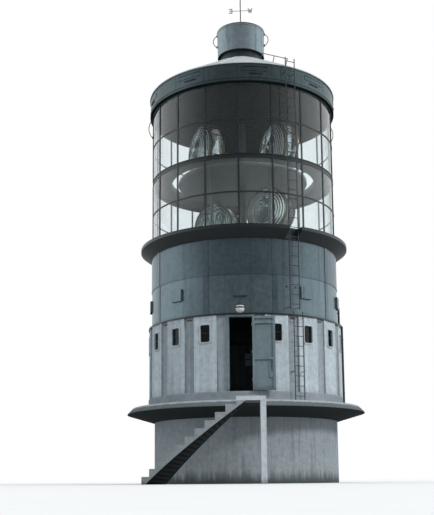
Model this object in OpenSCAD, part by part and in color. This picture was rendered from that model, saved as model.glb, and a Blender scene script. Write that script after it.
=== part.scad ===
// Low lighthouse with a wide lantern of two storeys on a riveted steel drum,
// a concrete drum with a door and small windows, a gallery slab, a round
// pedestal and a curved outside stair. Millimetres, +Z up. The origin is the
// centre of the pedestal's foot. The door faces -Y. An azimuth is an angle
// from the door, positive towards +X.

/* [Fits] */
// Gap between pieces whose flat faces bear on each other
seat_gap = 0.3; // [0.2:0.1:1]
// Gap between pieces whose round faces lie on each other
lap_gap = 0.7; // [0.6:0.1:2]

/* [Concrete base] */
// How far the pedestal stands back from the drum
pedestal_inset = 150; // [80:10:400]
// Height of the pedestal up to the slab's soffit
pedestal_h = 1980; // [1700:10:2400]
// How far the slab's top edge stands back from its sharp outer edge
slab_bevel = 170; // [60:10:260]
// How far the gallery slab reaches beyond the drum
slab_reach = 750; // [500:10:1000]
// Height of the slab's upright rim
slab_rim_h = 195; // [100:5:300]
// Rise of the slab's sloping soffit
slab_soffit_rise = 265; // [80:5:400]
// Height of the plinth at the drum's foot
plinth_h = 300; // [120:5:400]
// How far the plinth stands out beyond the window panels
plinth_proud = 8; // [4:1:60]

/* [Concrete drum] */
// Outer radius of the recessed strips
strip_r = 3180; // [3150:5:3250]
// Thickness of the concrete wall at the strips
wall_t = 200; // [140:5:300]
// Height of the concrete drum
drum_h = 2335; // [2250:5:2800]
// How far a window panel's edges stand out from the strips
panel_proud = 50; // [20:5:90]
// Angle covered by each flat window panel
panel_angle = 13.4; // [12.5:0.1:16]
// Width of the window openings
window_w = 320; // [240:10:400]
// Height of the window openings
window_h = 530; // [400:10:700]
// How far the panes stand back from the panels' faces
pane_set = 60; // [40:5:120]
// Height of the window sills above the plinth
window_sill_h = 1530; // [1200:10:1650]
// Corner radius of the windows
window_corner_r = 60; // [30:5:100]
// Width of the raised window surround
surround_w = 50; // [30:5:90]
// How far the window surround stands out
surround_proud = 16; // [8:2:50]
// Width of the vent recess above each strip
vent_w = 200; // [100:10:260]
// Height of the vent recess above each strip
vent_h = 45; // [20:5:80]
// Depth of the vent recess above each strip
vent_depth = 70; // [30:5:120]
// Distance of the vent recess below the wall's top
vent_drop = 60; // [30:5:120]

/* [Door] */
// Clear width of the doorway
door_w = 700; // [640:4:730]
// Clear height of the doorway above the plinth
door_h = 2270; // [2000:10:2300]
// Thickness of the door's framing bars
door_bar_t = 38; // [25:1:60]
// Width of the door's framing bars
door_bar_w = 70; // [50:2:100]
// Thickness of the door's steel skin
door_skin_t = 8; // [4:1:12]
// Gap round the shut door
door_gap = 8; // [6:1:12]
// Radius of the hinge pins
hinge_pin_r = 12; // [8:1:16]
// Wall of the hinge knuckles
hinge_wall = 8; // [5:1:12]
// Running clearance of the pins in their knuckles
hinge_clear = 0.3; // [0.3:0.1:1]
// Length of each hinge knuckle
knuckle_l = 90; // [60:5:140]
// Height of the door's pull handle above the floor
handle_h = 760; // [700:10:1200]
// Distance between the feet of the door's pull
handle_l = 220; // [160:10:300]
// Clear height between the door's pull and its middle rail
handle_rail_gap = 62.14; // [40:0.01:120]

/* [Steel drum] */
// How far the lower course of plates stands back from the concrete strips
steel_inset = 50; // [30:5:80]
// Thickness of the plates
plate_t = 12; // [8:1:16]
// Height of the ledge ring between concrete and steel
ledge_h = 50; // [30:5:80]
// How far the ledge ring stands out beyond the window panels
ledge_proud = 12; // [4:1:40]
// Height of the lower course of plates
lower_course_h = 1275; // [1150:5:1400]
// Overlap of the upper course on the lower course
course_lap = 50; // [30:5:80]
// Height of the upper course of plates
upper_course_h = 1140; // [1000:5:1300]
// Width of the cover strips over the plate joints
cover_w = 180; // [120:5:220]
// Width of the vent hoods
hood_w = 430; // [300:10:520]
// Height of the vent hoods
hood_h = 380; // [250:10:480]
// Depth of the vent hoods
hood_depth = 65; // [40:5:160]
// Height of the vent hoods' lower edge above the ledge
hood_rise = 540; // [420:10:640]

/* [Lantern gallery] */
// How far the gallery reaches beyond the plates
gallery_reach = 380; // [260:10:560]
// Height of the gallery's upright rim
gallery_rim_h = 105; // [70:5:150]
// Rise of the gallery's sloping underside
gallery_rise = 260; // [150:10:400]
// Width of the notch for the ladder
notch_w = 430; // [400:5:520]
// Thickness of the lantern floor plates
floor_t = 60; // [40:5:90]

/* [Lantern glazing] */
// How far the lantern frame stands back from the plates
lantern_inset = 5; // [2:1:20]
// Depth of the frame bars, in and out
bar_depth = 40; // [30:2:60]
// Width of the upright bars
mullion_w = 44; // [30:2:60]
// Height of a plain ring bar
transom_h = 40; // [25:5:60]
// Height of the lowest tier of glass and its ring bar
tier_1_h = 1125; // [1000:5:1200]
// Height of the second tier of glass
tier_2_h = 1120; // [1000:5:1200]
// Height of the channel band between the storeys
band_h = 155; // [120:5:200]
// Height of the third tier of glass and its ring bar
tier_3_h = 1145; // [1100:5:1300]
// Height of the highest tier of glass
tier_4_h = 1220; // [1050:5:1250]
// Thickness of the glass
glass_t = 8; // [6:1:12]
// Height of the kerb along the walkway's inner edge
kerb_h = 130; // [40:5:160]
// Thickness of the walkway's kerb
kerb_t = 20; // [10:1:40]
// Width of the walkway between the storeys
walkway_w = 625; // [450:5:700]
// Thickness of the walkway
walkway_t = 50; // [30:5:70]

/* [Cornice and roof] */
// How far the cornice reaches beyond the lantern frame
cornice_reach = 75; // [55:5:140]
// Height of the cornice
cornice_h = 570; // [500:5:750]
// Thickness of the ceiling under the cornice
ceiling_t = 30; // [20:5:50]
// Height of the outlet slots in the cornice
outlet_h = 120; // [60:5:160]
// Height of the outlet slots above the cornice's foot
outlet_rise = 345; // [300:10:440]
// Thickness of the eave
eave_t = 36; // [20:2:60]
// How far the eave stands out beyond the cornice
eave_proud = 25; // [10:5:60]
// Rise of the roof cone
roof_rise = 1430; // [1200:10:1900]
// Outer radius of the ventilator's neck
neck_r = 740; // [650:4:800]
// Height of the ventilator's neck above the cone
neck_h = 460; // [380:10:560]
// How far the foot of the cowl reaches beyond the neck
cowl_reach = 82; // [70:2:150]
// Outward lean of the cowl's wall
cowl_flare = 20; // [0:2:60]
// Height of the cowl
cowl_h = 990; // [600:10:1000]
// Gap from the cone to the cowl's lower edge
cowl_gap = 240; // [150:10:320]

/* [Rod with compass arms] */
// Length of the rod above the cowl
rod_h = 1880; // [1300:10:2400]
// Radius of the rod
rod_r = 17; // [12:1:25]
// Height of the compass arms above the cowl
arm_rise = 880; // [800:10:1200]
// Reach of each compass arm from the rod
arm_reach = 290; // [200:10:400]
// Radius of the compass arms
arm_r = 9; // [6:1:14]

/* [Ladders, rails and pipe] */
// Azimuth of the ladders
ladder_azimuth = 30; // [29.6:0.1:30.4]
// Distance between the ladders' rails
ladder_w = 330; // [280:5:360]
// Radius of the ladders' rails
ladder_rail_r = 16; // [12:1:22]
// Radius of the rungs
rung_r = 11; // [8:1:14]
// Spacing of the rungs
rung_pitch = 305; // [250:5:350]
// Distance of the ladders from the walls
ladder_offset = 150; // [120:5:200]
// Radius of the roof rail, its posts and the grab hoops
rail_r = 13; // [10:1:18]
// Height of the roof rail above the cone
roof_rail_h = 210; // [200:10:400]
// How far the grab hoops stand out
hoop_out = 125; // [90:5:160]
// Height of the grab hoops under the cornice
lantern_hoop_h = 650; // [500:10:800]
// Height of the grab hoops on the ventilator
cowl_hoop_h = 420; // [300:10:440]
// Height of the cowl's grab hoops above its foot
cowl_hoop_rise = 470; // [300:10:520]
// Radius of the rainwater pipe
pipe_r = 38; // [28:2:50]
// Azimuth of the rainwater pipe
pipe_azimuth = 91; // [84:1:96]

/* [Stair] */
// Width of the stair
stair_w = 920; // [800:10:1200]
// Gap between the stair and the slab
stair_gap = 50; // [30:5:90]
// Number of risers
risers = 11; // [10:1:12]
// Angle covered by each tread
tread_angle = 3.52; // [3.2:0.02:3.8]
// Depth of concrete under the inner corner of each step
stair_waist = 110; // [80:5:160]
// Thickness of the landing
landing_t = 125; // [90:5:180]
// Azimuth where the landing meets the flight
landing_start = -0.9; // [-3:0.1:1]
// Azimuth of the landing's far end
landing_end = 9; // [7:0.1:12]
// Width of the square post under the landing
post_w = 160; // [120:5:200]

/* [Revolving optic] */
// Radius of the upper storey's round stepped lenses
upper_lens_r = 900; // [700:10:920]
// Radius of the lower storey's round stepped lenses
lower_lens_r = 760; // [600:10:860]
// How far the middle of a lens bulges out from its rim
lens_rise = 240; // [150:10:280]
// Distance between the rims of a pair of lenses
lens_split = 460; // [360:10:600]
// Angle of the upper lens pairs' axes from the line through both pairs
upper_lens_turn = 30; // [20:1:40]
// Angle of the lower lens pairs' axes from the line through both pairs
lower_lens_turn = 98; // [90:1:105]
// Turn of the lower pairs about the column, against the upper ones
lower_turn = -40; // [-60:5:60]
// Distance of the lens pairs from the column, as a share of the tables' radius
lens_spread = 0.57; // [0.52:0.01:0.58]
// Thickness of the glass between the steps
lens_base_t = 16; // [12:1:24]
// Height of the steps on a lens
lens_step = 26; // [16:1:34]
// Width of one ring of a lens
lens_ring_w = 75; // [60:1:100]
// Radius of a lens's bull's eye
bullseye_r = 150; // [110:5:200]
// Width of the brass rim round a lens
rim_w = 44; // [30:2:60]
// Depth of the brass rim round a lens
rim_d = 70; // [50:2:100]
// Height of the upper lenses' rims above their table
upper_cage_foot = 280; // [60:10:320]
// Height of the lower lenses' rims above their table
lower_cage_foot = 60; // [50:5:80]
// Gap between the walkway and the turning tables
table_gap = 240; // [200:10:360]
// Thickness of the turning tables
table_t = 70; // [50:5:100]
// Radius of the central column
column_r = 130; // [90:5:180]
// Radius of the fixed bearing pedestal
bearing_r = 900; // [600:10:1100]
// Height of the fixed bearing pedestal
bearing_h = 190; // [140:5:260]
// Clearance of the turning pieces from the fixed ones
turn_clear = 10; // [6:1:20]
// Gap round a lens panel in its cage
lens_gap = 2; // [1:0.5:5]

/* [Hidden] */
$fn = 180;
bays = 18;
bay_angle = 360 / bays;
plates = 9;
plate_angle = 360 / plates;
plate_joint = 6;
pedestal_r = strip_r - pedestal_inset;
slab_r = strip_r + slab_reach;
slab_lip = pedestal_h + slab_soffit_rise;
slab_top = slab_lip + slab_rim_h;
panel_r = strip_r + panel_proud;
panel_flat = panel_r * cos(panel_angle / 2);
drum_in_r = strip_r - wall_t;
drum_foot = slab_top + plinth_h;
drum_top = drum_foot + drum_h;
steel_r = strip_r - steel_inset;
upper_r = steel_r + lap_gap + plate_t;
steel_foot = drum_top + ledge_h;
steel_seam = steel_foot + lower_course_h - course_lap;
steel_top = steel_seam + upper_course_h;
gallery_top = steel_top + gallery_rise + gallery_rim_h;
gallery_r = steel_r + gallery_reach;
lantern_r = steel_r - lantern_inset;
frame_in_r = lantern_r - bar_depth;
glass_in_r = (frame_in_r + lantern_r - glass_t) / 2;
mullion_angle = 2 * asin(mullion_w / 2 / lantern_r);
ring_c_z = gallery_top + tier_1_h;
band_z = ring_c_z + tier_2_h;
band_top = band_z + band_h;
ring_a_z = band_top + tier_3_h;
lantern_top = ring_a_z + tier_4_h;
walkway_in_r = frame_in_r - walkway_w;
cornice_r = lantern_r + cornice_reach;
cornice_foot = lantern_top + ceiling_t;
cornice_top = cornice_foot + cornice_h;
eave_top = cornice_top + eave_t;
cone_top = eave_top + roof_rise;
neck_out_r = neck_r - plate_t - lap_gap;
cowl_r = neck_r + cowl_reach;
cowl_foot = cone_top + cowl_gap;
cowl_top = cowl_foot + cowl_h;
cowl_top_r = cowl_r + cowl_flare;
riser_h = slab_top / risers;
stair_in_r = slab_r + stair_gap;
stair_out_r = stair_in_r + stair_w;
landing_foot = slab_top - landing_t;
knuckle_r = hinge_pin_r + hinge_clear + hinge_wall;
knuckle_gap = 6;
hinge_x = door_w / 2 + 2;
hinge_y = panel_flat + knuckle_gap + knuckle_r;
leaf_x = hinge_x + 2 + door_gap;
leaf_y = -hinge_y - knuckle_r - knuckle_gap;
leaf_w = door_w - 2 * door_gap;
leaf_foot = drum_foot + door_gap;
leaf_h = door_h - 2 * door_gap;
lower_table_z = gallery_top + bearing_h + turn_clear;
upper_table_z = band_z + band_h - table_t;
table_r = walkway_in_r - table_gap;
cage_offset = table_r * lens_spread;

function polar(r, a) = [r * sin(a), -r * cos(a)];

// Radius of the slab's bevelled edge at a height
function slab_edge(z) = slab_r - slab_bevel * (z - slab_lip - 20) / (slab_top - slab_lip - 20);

// A bar bent round the axis, between two azimuths
module sector(r_in, r_out, z, h, a0, a1) {
    translate([0, 0, z])
        rotate([0, 0, a0 - 90])
            rotate_extrude(angle = a1 - a0)
                translate([r_in, 0])
                    square([r_out - r_in, h]);
}

// The same with a section of its own, given as points of radius and height
module sector_profile(points, a0, a1) {
    rotate([0, 0, a0 - 90])
        rotate_extrude(angle = a1 - a0)
            polygon(points);
}

module tube(r_in, r_out, z, h) {
    translate([0, 0, z])
        rotate_extrude()
            translate([r_in, 0])
                square([r_out - r_in, h]);
}

// A round bar between two points
module rod_between(p, q, r) {
    v = q - p;
    l = norm(v);
    translate(p)
        rotate([0, acos(v[2] / l), atan2(v[1], v[0])])
            cylinder(r = r, h = l, $fn = 24);
}

// A block with rounded corners, seen along Y, centred on X and standing on z = 0
module rounded_block(w, h, r, y0, y1) {
    translate([-w / 2 + r, y0, 0])
        cube([w - 2 * r, y1 - y0, h]);
    translate([-w / 2, y0, r])
        cube([w, y1 - y0, h - 2 * r]);
    for (x = [-w / 2 + r, w / 2 - r], z = [r, h - r])
        translate([x, y0, z])
            rotate([-90, 0, 0])
                cylinder(r = r, h = y1 - y0, $fn = 32);
}

// Concrete base

module pedestal() {
    color("lightgray")
        cylinder(r = pedestal_r, h = pedestal_h - seat_gap);
}

module gallery_slab() {
    color("gainsboro")
        rotate_extrude()
            polygon([[0, pedestal_h], [pedestal_r, pedestal_h],
                     [slab_r, slab_lip], [slab_r, slab_lip + 20],
                     [slab_r - slab_bevel, slab_top], [0, slab_top]]);
}

module plinth() {
    color("lightgray")
        tube(drum_in_r, panel_r + plinth_proud, slab_top + seat_gap, plinth_h - seat_gap);
}

module ground_floor() {
    color("darkgray")
        translate([0, 0, slab_top + seat_gap])
            cylinder(r = drum_in_r - lap_gap, h = plinth_h - seat_gap);
}

// Concrete drum: a round wall with a flat panel in every bay

wall_foot = drum_foot + seat_gap;
wall_h = drum_h - 2 * seat_gap;
end_gap = asin(seat_gap / drum_in_r);

module panel_slab() {
    a = panel_angle / 2;
    root_r = drum_in_r + wall_t / 2;
    translate([0, 0, wall_foot])
        linear_extrude(wall_h)
            polygon([polar(panel_r, -a), polar(panel_r, a), polar(root_r, a), polar(root_r, -a)]);
}

module window_cut() {
    translate([0, 0, drum_foot + window_sill_h])
        rounded_block(window_w, window_h, window_corner_r,
                      -panel_r - surround_proud - 50, -drum_in_r + 50);
}

module window_surround() {
    translate([0, 0, drum_foot + window_sill_h - surround_w])
        rounded_block(window_w + 2 * surround_w, window_h + 2 * surround_w,
                      window_corner_r + surround_w, -panel_flat - surround_proud,
                      -panel_flat + 20);
}

module vent_recess() {
    translate([-vent_w / 2, -panel_r, drum_top - vent_drop - vent_h])
        cube([vent_w, panel_r - strip_r + vent_depth, vent_h]);
}

// Wall from one azimuth to another; bay_list holds the bays with a window,
// strip_list the places between bays
module drum_wall(a0, a1, bay_list, strip_list) {
    color("lightgray")
        difference() {
            union() {
                sector(drum_in_r, strip_r, wall_foot, wall_h, a0, a1);
                for (b = bay_list)
                    rotate([0, 0, b * bay_angle]) {
                        panel_slab();
                        window_surround();
                    }
            }
            for (b = bay_list)
                rotate([0, 0, b * bay_angle])
                    window_cut();
            for (s = strip_list)
                rotate([0, 0, s * bay_angle])
                    vent_recess();
        }
}

door_side_angle = asin((door_w / 2 + door_bar_w) / strip_r);

module drum_wall_front_right() {
    drum_wall(door_side_angle, 3.5 * bay_angle - end_gap, [1, 2, 3], [1.5, 2.5]);
}

module drum_wall_front_left() {
    drum_wall(-3.5 * bay_angle + end_gap, -door_side_angle, [-1, -2, -3], [-1.5, -2.5]);
}

module drum_wall_right() {
    drum_wall(3.5 * bay_angle, 6.5 * bay_angle - end_gap, [4, 5, 6], [4.5, 5.5]);
}

module drum_wall_left() {
    drum_wall(-6.5 * bay_angle + end_gap, -3.5 * bay_angle, [-4, -5, -6], [-4.5, -5.5]);
}

module drum_wall_back() {
    drum_wall(6.5 * bay_angle, 11.5 * bay_angle, [7, 8, 9, 10, 11], [7.5, 8.5, 9.5, 10.5]);
}

module window_panes() {
    color("slategray")
        for (b = [1 : bays - 1])
            rotate([0, 0, b * bay_angle])
                translate([0, 0, drum_foot + window_sill_h])
                    rounded_block(window_w, window_h, window_corner_r,
                                  -panel_flat + pane_set, -panel_flat + pane_set + glass_t);
}

// Door

// A steel lining in the doorway: two jambs and a head
module door_frame() {
    color("lightsteelblue")
        difference() {
            intersection() {
                sector(drum_in_r, panel_r + 50, wall_foot, wall_h,
                       -door_side_angle + end_gap, door_side_angle - end_gap);
                translate([-door_w, -panel_flat, 0])
                    cube([2 * door_w, panel_flat, drum_top]);
            }
            translate([-door_w / 2, -panel_r - 100, drum_foot - 1])
                cube([door_w, 400 + wall_t, door_h + 1]);
        }
}

hinge_heights = [leaf_foot + 280, leaf_foot + leaf_h / 2, leaf_foot + leaf_h - 280];

// Pins on brackets fixed to the right jamb, one under each knuckle
module door_hinge_pins() {
    bracket_h = 34;
    color("dimgray")
        for (z = hinge_heights) {
            translate([hinge_x, -hinge_y, z - bracket_h - 6])
                cylinder(r = hinge_pin_r, h = bracket_h + 6 + knuckle_l, $fn = 32);
            translate([hinge_x, -hinge_y, z - bracket_h - 6])
                cube([2 * hinge_pin_r, hinge_y - panel_flat, bracket_h]);
        }
}

// A strap along the leaf's outer face, with the knuckle that turns on the pin
module door_strap(z) {
    strap_l = 240;
    strap_t = knuckle_gap + hinge_wall;
    translate([leaf_x, leaf_y - 1, z])
        cube([strap_l, strap_t + 1, knuckle_l]);
    translate([hinge_x, leaf_y + knuckle_gap, z])
        cube([leaf_x - hinge_x + 1, hinge_wall, knuckle_l]);
    translate([hinge_x, -hinge_y, z])
        cylinder(r = knuckle_r, h = knuckle_l, $fn = 48);
}

// The leaf stands wide open, turned half a circle out from the doorway,
// so that its framed inner side is seen
module door_leaf() {
    bars_y = leaf_y - door_skin_t - door_bar_t;
    rail_z = [leaf_foot, drum_foot + handle_h + handle_l / 2 + handle_rail_gap,
              leaf_foot + leaf_h - 230,
              leaf_foot + leaf_h - door_bar_w];
    color("gray")
        difference() {
            union() {
                translate([leaf_x, leaf_y - door_skin_t, leaf_foot])
                    cube([leaf_w, door_skin_t, leaf_h]);
                for (x = [leaf_x, leaf_x + leaf_w - door_bar_w])
                    translate([x, bars_y, leaf_foot])
                        cube([door_bar_w, door_bar_t + 1, leaf_h]);
                for (z = rail_z)
                    translate([leaf_x, bars_y, z])
                        cube([leaf_w, door_bar_t + 1, door_bar_w]);
                for (z = hinge_heights)
                    door_strap(z);
            }
            for (z = hinge_heights)
                translate([hinge_x, -hinge_y, z - 10])
                    cylinder(r = hinge_pin_r + hinge_clear, h = knuckle_l + 20, $fn = 48);
        }
}

// An oval pull on the inner side of the leaf, near its free edge
module door_handle() {
    reach = 60;
    half_h = handle_l / 2;
    color("dimgray")
        translate([leaf_x + leaf_w * 0.81, leaf_y - door_skin_t, drum_foot + handle_h]) {
            for (z = [-half_h, half_h])
                translate([0, -reach, z])
                    rotate([-90, 0, 0])
                        cylinder(r = 9, h = reach, $fn = 24);
            translate([0, -reach, -half_h - 12])
                cylinder(r = 11, h = 2 * half_h + 24, $fn = 24);
        }
}

// Steel drum

module ledge_ring() {
    color("dimgray")
        tube(drum_in_r, panel_r + ledge_proud, drum_top, ledge_h);
}

// Half the angle of the open joint between two plates
function joint_half(r) = asin(plate_joint / 2 / r);

module plate_course(r, z, h) {
    j = joint_half(r);
    for (p = [0 : plates - 1])
        sector(r - plate_t, r, z, h, (p - 0.5) * plate_angle + j, (p + 0.5) * plate_angle - j);
}

module lower_plates() {
    color("slategray")
        plate_course(steel_r, steel_foot + seat_gap, lower_course_h - seat_gap);
}

module upper_plates() {
    color("slategray")
        plate_course(upper_r, steel_seam, upper_course_h - seat_gap);
}

module plate_covers() {
    a = asin(cover_w / 2 / steel_r);
    lower_h = lower_course_h - course_lap - 8;
    color("slategray")
        for (p = [0 : plates - 1])
            rotate([0, 0, (p + 0.5) * plate_angle]) {
                sector(steel_r + lap_gap, steel_r + lap_gap + plate_t, steel_foot + seat_gap,
                       lower_h, -a, a);
                sector(upper_r + lap_gap, upper_r + lap_gap + plate_t, steel_seam,
                       upper_course_h - seat_gap, -a, a);
            }
}

// Sheet hoods over the air inlets, open at the foot
module vent_hoods() {
    hood_t = 8;
    front = steel_r + hood_depth;
    z = steel_foot + hood_rise;
    color("slategray")
        for (p = [0 : plates - 1])
            rotate([0, 0, p * plate_angle])
                difference() {
                    translate([-hood_w / 2, -front, z])
                        cube([hood_w, hood_depth + 40, hood_h]);
                    translate([-hood_w / 2 + hood_t, -front + hood_t, z - 1])
                        cube([hood_w - 2 * hood_t, hood_depth + 40, hood_h - hood_t + 1]);
                    translate([0, 0, z - 1])
                        cylinder(r = steel_r + lap_gap, h = hood_h + 2);
                }
}

// Lantern gallery and floor

module lantern_gallery() {
    underside_r = upper_r + lap_gap + plate_t;
    color("darkslategray")
        difference() {
            rotate_extrude()
                polygon([[frame_in_r, steel_top], [underside_r, steel_top],
                         [gallery_r, steel_top + gallery_rise], [gallery_r, gallery_top],
                         [frame_in_r, gallery_top]]);
            rotate([0, 0, ladder_azimuth])
                translate([-notch_w / 2, -gallery_r - 100, steel_top - 1])
                    cube([notch_w, gallery_r + 100 - underside_r - 20,
                          gallery_top - steel_top + 2]);
        }
}

module lantern_floor() {
    color("dimgray")
        translate([0, 0, gallery_top - floor_t])
            cylinder(r = frame_in_r - lap_gap, h = floor_t);
}

// Lantern frame and glass

module lantern_mullions() {
    color("dimgray")
        for (b = [0 : bays - 1])
            sector(frame_in_r, lantern_r, gallery_top + seat_gap,
                   lantern_top - gallery_top - 2 * seat_gap,
                   b * bay_angle - mullion_angle / 2, b * bay_angle + mullion_angle / 2);
}

module ring_bars(points) {
    side = mullion_angle / 2 + asin(seat_gap / frame_in_r);
    color("dimgray")
        for (b = [0 : bays - 1])
            sector_profile(points, b * bay_angle + side, (b + 1) * bay_angle - side);
}

function bar_points(z, h) =
    [[frame_in_r, z], [lantern_r, z], [lantern_r, z + h], [frame_in_r, z + h]];

module sill_ring() {
    ring_bars(bar_points(gallery_top + seat_gap, transom_h - seat_gap));
}

module lower_ring() {
    ring_bars(bar_points(ring_c_z, transom_h));
}

// A channel with its flanges turned out
module storey_band() {
    web = bar_depth / 2;
    flange = 24;
    ring_bars([[frame_in_r, band_z], [lantern_r, band_z], [lantern_r, band_z + flange],
               [frame_in_r + web, band_z + flange], [frame_in_r + web, band_top - flange],
               [lantern_r, band_top - flange], [lantern_r, band_top], [frame_in_r, band_top]]);
}

module upper_ring() {
    ring_bars(bar_points(ring_a_z, transom_h));
}

module head_ring() {
    ring_bars(bar_points(lantern_top - transom_h, transom_h - seat_gap));
}

module glass_tier(z0, z1) {
    side = mullion_angle / 2 + asin(seat_gap / frame_in_r);
    color("lightcyan", 0.4)
        for (b = [0 : bays - 1])
            sector(glass_in_r, glass_in_r + glass_t, z0 + seat_gap, z1 - z0 - 2 * seat_gap,
                   b * bay_angle + side, (b + 1) * bay_angle - side);
}

module glass_tier_1() {
    glass_tier(gallery_top + transom_h, ring_c_z);
}

module glass_tier_2() {
    glass_tier(ring_c_z + transom_h, band_z);
}

module glass_tier_3() {
    glass_tier(band_top, ring_a_z);
}

module glass_tier_4() {
    glass_tier(ring_a_z + transom_h, lantern_top - transom_h);
}

module lantern_walkway() {
    j = joint_half(frame_in_r);
    color("dimgray")
        for (p = [0 : plates - 1])
            sector_profile([[walkway_in_r, band_top - walkway_t],
                            [frame_in_r - lap_gap, band_top - walkway_t],
                            [frame_in_r - lap_gap, band_top], [walkway_in_r + kerb_t, band_top],
                            [walkway_in_r + kerb_t, band_top + kerb_h],
                            [walkway_in_r, band_top + kerb_h]],
                           (p - 0.5) * plate_angle + j, (p + 0.5) * plate_angle - j);
}

// Cornice and roof

module lantern_ceiling() {
    color("dimgray")
        translate([0, 0, lantern_top])
            cylinder(r = cornice_r + 15, h = ceiling_t);
}

module cornice_plates() {
    j = joint_half(cornice_r);
    inner = cornice_r - plate_t;
    foot = cornice_foot + seat_gap;
    head = cornice_top - seat_gap;
    rib_z = cornice_foot + 80;
    outlet_z = cornice_foot + outlet_rise;
    color("slategray")
        for (b = [0 : bays - 1])
            difference() {
                sector_profile([[inner, foot], [cornice_r, foot],
                                [cornice_r, rib_z], [cornice_r + 14, rib_z],
                                [cornice_r + 14, rib_z + 24], [cornice_r, rib_z + 24],
                                [cornice_r, head], [inner, head]],
                               b * bay_angle + j, (b + 1) * bay_angle - j);
                if (b % 2 == 0)
                    sector(inner - 5, cornice_r + 5, outlet_z, outlet_h,
                           (b + 0.12) * bay_angle, (b + 0.88) * bay_angle);
            }
}

module roof_cone() {
    edge_r = cornice_r + eave_proud;
    color("silver")
        rotate_extrude()
            polygon([[cornice_r - plate_t, cornice_top], [edge_r, cornice_top],
                     [edge_r, eave_top], [neck_r, cone_top], [neck_r - plate_t, cone_top],
                     [neck_r - plate_t, cone_top - plate_t],
                     [cornice_r - plate_t, cornice_top + plate_t]]);
}

module ventilator_neck() {
    color("slategray")
        tube(neck_out_r - plate_t, neck_out_r, cone_top - plate_t, neck_h);
}

// The cowl is a deep cap over the neck, held by four stays
module ventilator_cowl() {
    stay_z = cowl_foot + 90;
    color("dimgray") {
        rotate_extrude()
            polygon([[cowl_r - plate_t, cowl_foot], [cowl_r, cowl_foot],
                     [cowl_top_r, cowl_top - 20], [cowl_top_r - 20, cowl_top],
                     [0, cowl_top], [0, cowl_top - plate_t],
                     [cowl_top_r - 20 - plate_t, cowl_top - plate_t]]);
        for (a = [45 : 90 : 315])
            rotate([0, 0, a])
                translate([-15, -cowl_r + plate_t / 2, stay_z])
                    cube([30, cowl_r - neck_out_r - plate_t / 2, 60]);
    }
}

module compass_rod() {
    arm_z = cowl_top + arm_rise;
    color("black") {
        translate([0, 0, cowl_top + seat_gap])
            cylinder(r = rod_r, h = rod_h - 120 - seat_gap);
        translate([0, 0, cowl_top + seat_gap])
            cylinder(r = 60, h = 40);
        translate([0, 0, cowl_top + rod_h - 120])
            cylinder(r1 = rod_r, r2 = 3, h = 120);
        translate([-arm_reach, 0, arm_z])
            rotate([0, 90, 0])
                cylinder(r = arm_r, h = 2 * arm_reach, $fn = 24);
        translate([0, arm_reach, arm_z])
            rotate([90, 0, 0])
                cylinder(r = arm_r, h = 2 * arm_reach, $fn = 24);
    }
}

// Ladders, rails and pipe

function cone_z(r) = eave_top + roof_rise * (cornice_r + eave_proud - r)
                     / (cornice_r + eave_proud - neck_r);

// The posts stand square to the roof
module roof_rail() {
    slope = atan(roof_rise / (cornice_r + eave_proud - neck_r));
    run = [0, -cos(slope), -sin(slope)];
    out = [0, -sin(slope), cos(slope)];
    first = [0, -neck_r - 700, cone_z(neck_r + 700)];
    length = (cornice_r - 100 - neck_r - 700) / cos(slope);
    color("dimgray")
        rotate([0, 0, ladder_azimuth]) {
            rod_between(first - 30 * run + roof_rail_h * out,
                        first + (length + 30) * run + roof_rail_h * out, rail_r);
            for (l = [0, length / 2, length])
                rod_between(first + l * run + 2 * lap_gap * out, first + l * run + roof_rail_h * out, rail_r);
        }
}

// Rails with rungs, standing off a wall at a radius of wall_r
module ladder_flight(wall_r, z0, z1) {
    y = -wall_r - ladder_offset;
    first = z0 + rung_pitch / 2;
    for (x = [-ladder_w / 2, ladder_w / 2])
        translate([x, y, z0])
            cylinder(r = ladder_rail_r, h = z1 - z0, $fn = 24);
    for (z = [first : rung_pitch : z1 - 60])
        translate([-ladder_w / 2, y, z])
            rotate([0, 90, 0])
                cylinder(r = rung_r, h = ladder_w, $fn = 24);
}

// Stays from both rails back into the wall, to be cut off at its face
module ladder_stays(wall_r, heights) {
    for (x = [-ladder_w / 2, ladder_w / 2], z = heights)
        translate([x, -wall_r - ladder_offset, z])
            rotate([-90, 0, 0])
                cylinder(r = rung_r, h = ladder_offset + 120, $fn = 24);
}

upper_ladder_foot = drum_top + 190;

module upper_ladder() {
    color("dimgray")
        rotate([0, 0, ladder_azimuth])
            difference() {
                union() {
                    ladder_flight(cornice_r, upper_ladder_foot, eave_top + roof_rail_h);
                    ladder_stays(cornice_r, [upper_ladder_foot + 60, cornice_foot + 330]);
                }
                translate([0, 0, steel_foot])
                    cylinder(r = steel_r + lap_gap, h = lower_course_h);
                translate([0, 0, cornice_foot])
                    cylinder(r = cornice_r + lap_gap, h = cornice_h);
            }
}

module lower_ladder() {
    turn = ladder_azimuth + 1.5;
    color("dimgray")
        difference() {
            rotate([0, 0, turn]) {
                ladder_flight(panel_r, slab_top + seat_gap, drum_top + 120);
                ladder_stays(panel_r, [drum_foot + 600, drum_top - 85]);
            }
            translate([0, 0, drum_foot])
                cylinder(r = strip_r + lap_gap, h = drum_h);
            rotate([0, 0, 2 * bay_angle])
                panel_slab();
        }
}

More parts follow.
